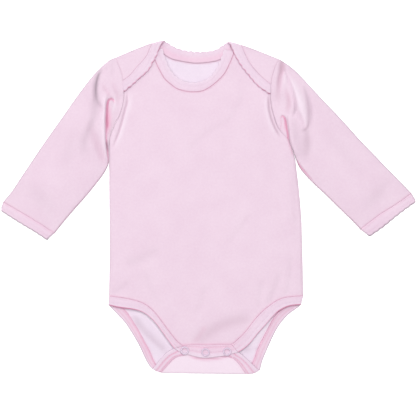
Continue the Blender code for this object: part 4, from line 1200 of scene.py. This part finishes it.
def open_tube(around, top_share, rings):
    """A round tube with a wall, and for each of its corners where it is along and around the tube."""
    bm = bmesh.new()
    bmesh.ops.create_cone(bm, cap_ends=False, segments=around, radius1=2, radius2=2, depth=1)
    lengthways = [edge for edge in bm.edges if abs(edge.verts[0].co.z - edge.verts[1].co.z) > 0.5]
    bmesh.ops.subdivide_edges(bm, edges=lengthways, cuts=rings - 1, use_grid_fill=True)
    bmesh.ops.solidify(bm, geom=bm.faces[:], thickness=1)
    places = np.array([corner.co[:] for corner in bm.verts])
    turn = np.round(np.arctan2(places[:, 1], places[:, 0]) / (2 * math.pi) * around) / around % 1.0
    radius = np.linalg.norm(places[:, :2], axis=1)
    on_top = turn < top_share
    across = np.where(on_top, turn / top_share, (1 - turn) / (1 - top_share))
    return Tube(bm, places[:, 2] + 0.5, across, on_top, radius < (radius.min() + radius.max()) / 2, turn)


def lay_tube(tube, patch, wall, along, across, height, shift, by_body=0.0):
    """Where the corners of a flattened tube lie over its patch, its underside on the table.

    by_body is how far its edge stands up there, against the side of the body, and isn't turned down.
    """
    depth = np.where(tube.within, wall, 0.0)
    width = patch.width(along)
    from_edge = np.minimum(across, 1 - across) * width
    inset = WALL_CROWDING * depth / width
    place = patch.at(along, inset + across * (1 - 2 * inset)) + shift
    fullness = rounded(from_edge, TUBE_EDGE)
    fullness += (1 - fullness) * by_body * tube.on_top
    middle = wall + FRONT_TOP / 2 - CLOTH
    end = np.minimum(along, 1 - along) * patch.length
    rounding = END_ROUND * (1 - rounded(end, EDGE_ROUND))
    pull = np.where(tube.within, -rounding, rounding)
    top = middle + (height(place) - depth - pull - middle) * fullness
    bottom = middle - (middle - depth - pull) * fullness
    return np.column_stack([place, np.where(tube.on_top, top, np.maximum(bottom, 0.0))])


def grain_of_tube(tube, girth, length):
    """Sets the knit's grain round and along a tube, and parts its inside from its outside."""
    grain = tube.bm.loops.layers.uv.new("cloth")
    tube.bm.verts.index_update()
    for face in tube.bm.faces:
        rows = [corner.index for corner in face.verts]
        face.material_index = int(all(tube.within[i] for i in rows))
        wraps = max(tube.turn[i] for i in rows) - min(tube.turn[i] for i in rows) > 0.5
        for loop in face.loops:
            i = loop.vert.index
            turn = tube.turn[i] + (1 if wraps and tube.turn[i] < 0.5 else 0)
            loop[grain].uv = (turn * girth, tube.along[i] * length)


for side, sign in (("right", -1), ("left", 1)):
    patch = Patch(ARMHOLE[side], CUFF_SEAM[side], SLEEVE_OUTER[side], SLEEVE_INNER[side], SLEEVE_FADE)
    tube = open_tube(SLEEVE_AROUND, SLEEVE_ON_TOP / SLEEVE_AROUND, SLEEVE_RINGS)
    along = tube.along**RING_CROWDING
    across = (1 - np.cos(math.pi * tube.across)) / 4 + tube.across / 2
    effects = crease_effects(SLEEVE_CREASES[side], patch.at(along, across))

    def sleeve_height(place):
        fullness = np.sin(math.pi * np.clip(across, 0, 1)) ** 0.8
        crown = SLEEVE_CROWN * fullness * ramp(0, 0.12, along) * (1 - 0.75 * ramp(0.75, 1, along))
        lap = (2 * SHOULDER_BEND - FRONT_TOP) * ramp(0.5, 0.35, across) * ramp(0.1, 0.02, along)
        rise = crease_effects(SLEEVE_CREASES[side], place)[0] * ramp(0, 0.02, along)
        return np.maximum(FRONT_TOP + crown + lap + rise, TUBE_LEAST)

    apart = np.where(tube.on_top, -LAPPED_OVER, TUCKED_UNDER)
    shift = np.outer(ramp(0.08, 0, along) * apart, (sign, 0))
    width = patch.width(along)
    grain_of_tube(tube, 2 * float(width.mean()), patch.length)
    by_body = ramp(0.5, 0.9, across) * ramp(*LAP_SPAN, along)
    places = lay_tube(tube, patch, CLOTH, along, across, sleeve_height, shift, by_body)
    # Painted shade: the creases' painted shade and highlight on top, dimmer at the sleeve's ends and along
    # its side rims, rosier by the cuff seam and along the edge turned to the body.
    rose, dim = (np.where(tube.on_top, effect, 0.0) for effect in effects[1:])
    from_ends = np.minimum(along, 1 - along) * patch.length
    from_sides = np.minimum(across, 1 - across) * width
    dim += 0.06 * swell(from_ends, 0.7) + 0.46 * ramp(1.6, 0.4, from_sides)
    rose += 0.14 * swell((1 - along) * patch.length, 1.8)
    under = ramp(1.8, 0.3, (1 - across) * width) * ramp(0.25, 0.32, along)
    rose = np.maximum(rose, UNDER_PAINTED_ROSE[side] * under)
    looks = [OUTSIDE, INSIDE]
    sleeve = add_piece(f"sleeve_{side}_cloth", tube.bm, places, (rose, dim), looks)
    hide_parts(f"sleeve_{side}")
    cut = (2 * patch.width(np.linspace(0, 1, 80)).max() * MM, patch.length * MM)
    2 * patch.area() * MM * MM

# --- Cuffs ---------------------------------------------------------------------------------------
# Each sleeve ends in a doubled band of the knit, with the same picot all round its edge and two rows
# of stitches.

CUFF_EDGE = {
    "right": [(-227, -2.8), (-215, -10.6), (-202.7, -18.3), (-189.6, -26.1), (-176.6, -34.8)],
    "left": [(226.6, 6.9), (214.2, -2), (202.8, -10.9), (190.8, -20.8), (175.8, -31.2)],
}
CUFF_PICOTS = 9
CUFF_RINGS = 14
CUFF_WIDTH = 10
CUFF_LOFT = 0.4
CUFF_CROWN = 0.5
CUFF_LIP = 0.5
CUFF_STITCH_HEIGHT = 2 * BINDING + 0.65
for side in ("right", "left"):
    ends = [[CUFF_SEAM[side][i], CUFF_EDGE[side][i]] for i in (0, -1)]
    patch = Patch(CUFF_SEAM[side], CUFF_EDGE[side], *ends)
    outwards = CUFF_EDGE[side][1] - np.array(CUFF_SEAM[side][1])
    outwards /= np.linalg.norm(outwards)
    tube = open_tube(2 * CUFF_PICOTS * 8, 1 / 2, CUFF_RINGS)
    along = tube.along
    width = float(patch.width(np.array([0.5]))[0])
    scallop = (1 - abs(np.sin(math.pi * tube.across * CUFF_PICOTS))) ** 1.4

    def cuff_height(place):
        puckers = 0.08 * np.sin(tube.across * width * 2 * math.pi / STITCH_PITCH)
        sewn = sum(0.14 * swell((along - row) * CUFF_WIDTH, 0.6) for row in STITCH_ROWS)
        lip = CUFF_LIP * ramp(0.84, 0.92, along)
        crown = CUFF_CROWN * np.sin(math.pi * tube.across)
        return 2 * BINDING + CUFF_LOFT + crown + puckers - sewn - lip

    shift = np.outer(-PICOT_DEPTH * scallop * ramp(0.6, 1, along), outwards)
    grain_of_tube(tube, 2 * width, patch.length)
    places = lay_tube(tube, patch, BINDING, along, tube.across, cuff_height, shift)
    from_edge = np.minimum(tube.across, 1 - tube.across) * patch.width(along)
    # The cuff's tints: a little rosier all over; painted shade, rosier by its seam and dimmer at its picot
    # edge and along its sides; and a little paler over its half by the seam.
    rose = 0.05 + 0.10 * swell(along * patch.length, 1.8)
    dim = 0.62 * ramp(0.87, 0.96, along) + 0.40 * ramp(1.6, 0.4, from_edge)
    dim -= 0.1 * ramp(0.5, 0.3, along)
    looks = [TRIM, TRIM_INSIDE]
    cuff = add_piece(f"cuff_{side}_cloth", tube.bm, places, (rose, dim), looks)
    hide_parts(f"cuff_{side}")

    def lay_on_cuff(flat):
        return np.column_stack([flat[:, :2], CUFF_STITCH_HEIGHT - flat[:, 2]])

    across = np.linspace(0.04, 0.96, 60)
    sewn = [(patch.at(np.full_like(across, row), across), lay_on_cuff, 0.0) for row in STITCH_ROWS]
    stitches = add_stitches(f"cuff_{side}_stitches", sewn)
    cut = (max(patch.length, STRIP_LEAST) * MM, 2 * width * MM)

# --- Snaps ---------------------------------------------------------------------------------------
# Three ring snaps close the crotch. The part that shows is an open enamelled ring, whose prongs go
# through the placket, and the knit is drawn up a little inside it.

SNAP_DIAMETER = 9.4
SNAP_WIRE = 1.9
SNAP_HEIGHT = 1.3
SNAP_PLACES = [(-26, -154.8), (-3.3, -156.8), (20.1, -156)]

enamel, enamel_surface, first = new_material("snap_enamel", Roughness=0.28, Coat_Weight=0.4)
place = first.node("ShaderNodeTexCoord", output=3)
speckle = first.node("ShaderNodeTexNoise", (), {"Vector": place, "Scale": 600.0})
speckle.mix((0.62, 0.48, 0.62, 1), (0.70, 0.56, 0.69, 1)).feed(enamel_surface, "Base Color")

for number, place in enumerate(SNAP_PLACES, 1):
    bm = bmesh.new()
    ring = bmesh.ops.create_circle(bm, segments=16, radius=SNAP_WIRE / 2)["verts"]
    upright = Matrix.Rotation(math.pi / 2, 3, "X")
    bmesh.ops.rotate(bm, verts=ring, cent=(0, 0, 0), matrix=upright)
    bmesh.ops.scale(bm, verts=ring, vec=(1, 1, SNAP_HEIGHT / SNAP_WIRE))
    bmesh.ops.translate(bm, verts=ring, vec=((SNAP_DIAMETER - SNAP_WIRE) / 2, 0, 0))
    bmesh.ops.spin(
        bm, geom=bm.edges[:], cent=(0, 0, 0), axis=(0, 0, 1), angle=2 * math.pi, steps=48,
        use_merge=True,
    )
    height = front_height(np.array([place]))[0] + PROUD + SNAP_HEIGHT / 2
    places = [np.array(corner.co) + (*place, height) for corner in bm.verts]
    snap = add_piece(f"snap_{number}_ring", bm, places, (), [enamel])
    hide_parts(f"snap_{number}")

# --- Table, light and camera ---------------------------------------------------------------------
# The garment lies on a plain white table under broad soft lights, and is seen from straight above.

bm = bmesh.new()
bmesh.ops.create_grid(bm, x_segments=1, y_segments=1, size=3)
table_mesh = bpy.data.meshes.new("table")
bm.to_mesh(table_mesh)
bm.free()
table = new_object("table", table_mesh)
table.location.z = -0.0002
WHITE = (1, 1, 1, 1)
table_mesh.materials.append(new_material(
    "white_table", Base_Color=(0.9, 0.9, 0.9, 1), Roughness=0.9, Emission_Color=WHITE,
    Emission_Strength=0.40,
)[0])

for name, place, size, power in (
    ("overhead", (0.0, 0.0, 1.8), 1.8, 20.0),
    ("key", (0.4, 1.6, 2.8), 0.7, 26.0),
    ("window_side", (-1.5, 0.6, 1.0), 0.9, 6.0),
):
    lamp = bpy.data.lights.new(name, "AREA")
    lamp.shape = "DISK"
    lamp.size = size
    lamp.energy = power
    holder = new_object(name, lamp)
    holder.location = place
    holder.rotation_euler = (-Vector(place)).to_track_quat("-Z", "Y").to_euler()

world = bpy.data.worlds.new("room")
world.use_nodes = True
world.node_tree.nodes["Background"].inputs["Color"].default_value = WHITE
world.node_tree.nodes["Background"].inputs["Strength"].default_value = 0.35
bpy.context.scene.world = world

FOCAL_LENGTH = 85
SENSOR = 36
FIELD = 0.4530
MIDDLE = (-0.0006, 0.0)
HALF_THICKNESS = 0.003
lens = bpy.data.cameras.new("camera")
lens.lens = FOCAL_LENGTH
lens.sensor_width = SENSOR
camera = new_object("camera", lens)
camera.location = (*MIDDLE, FIELD * FOCAL_LENGTH / SENSOR + HALF_THICKNESS)
bpy.context.scene.camera = camera
bpy.context.scene.view_settings.view_transform = "Standard"
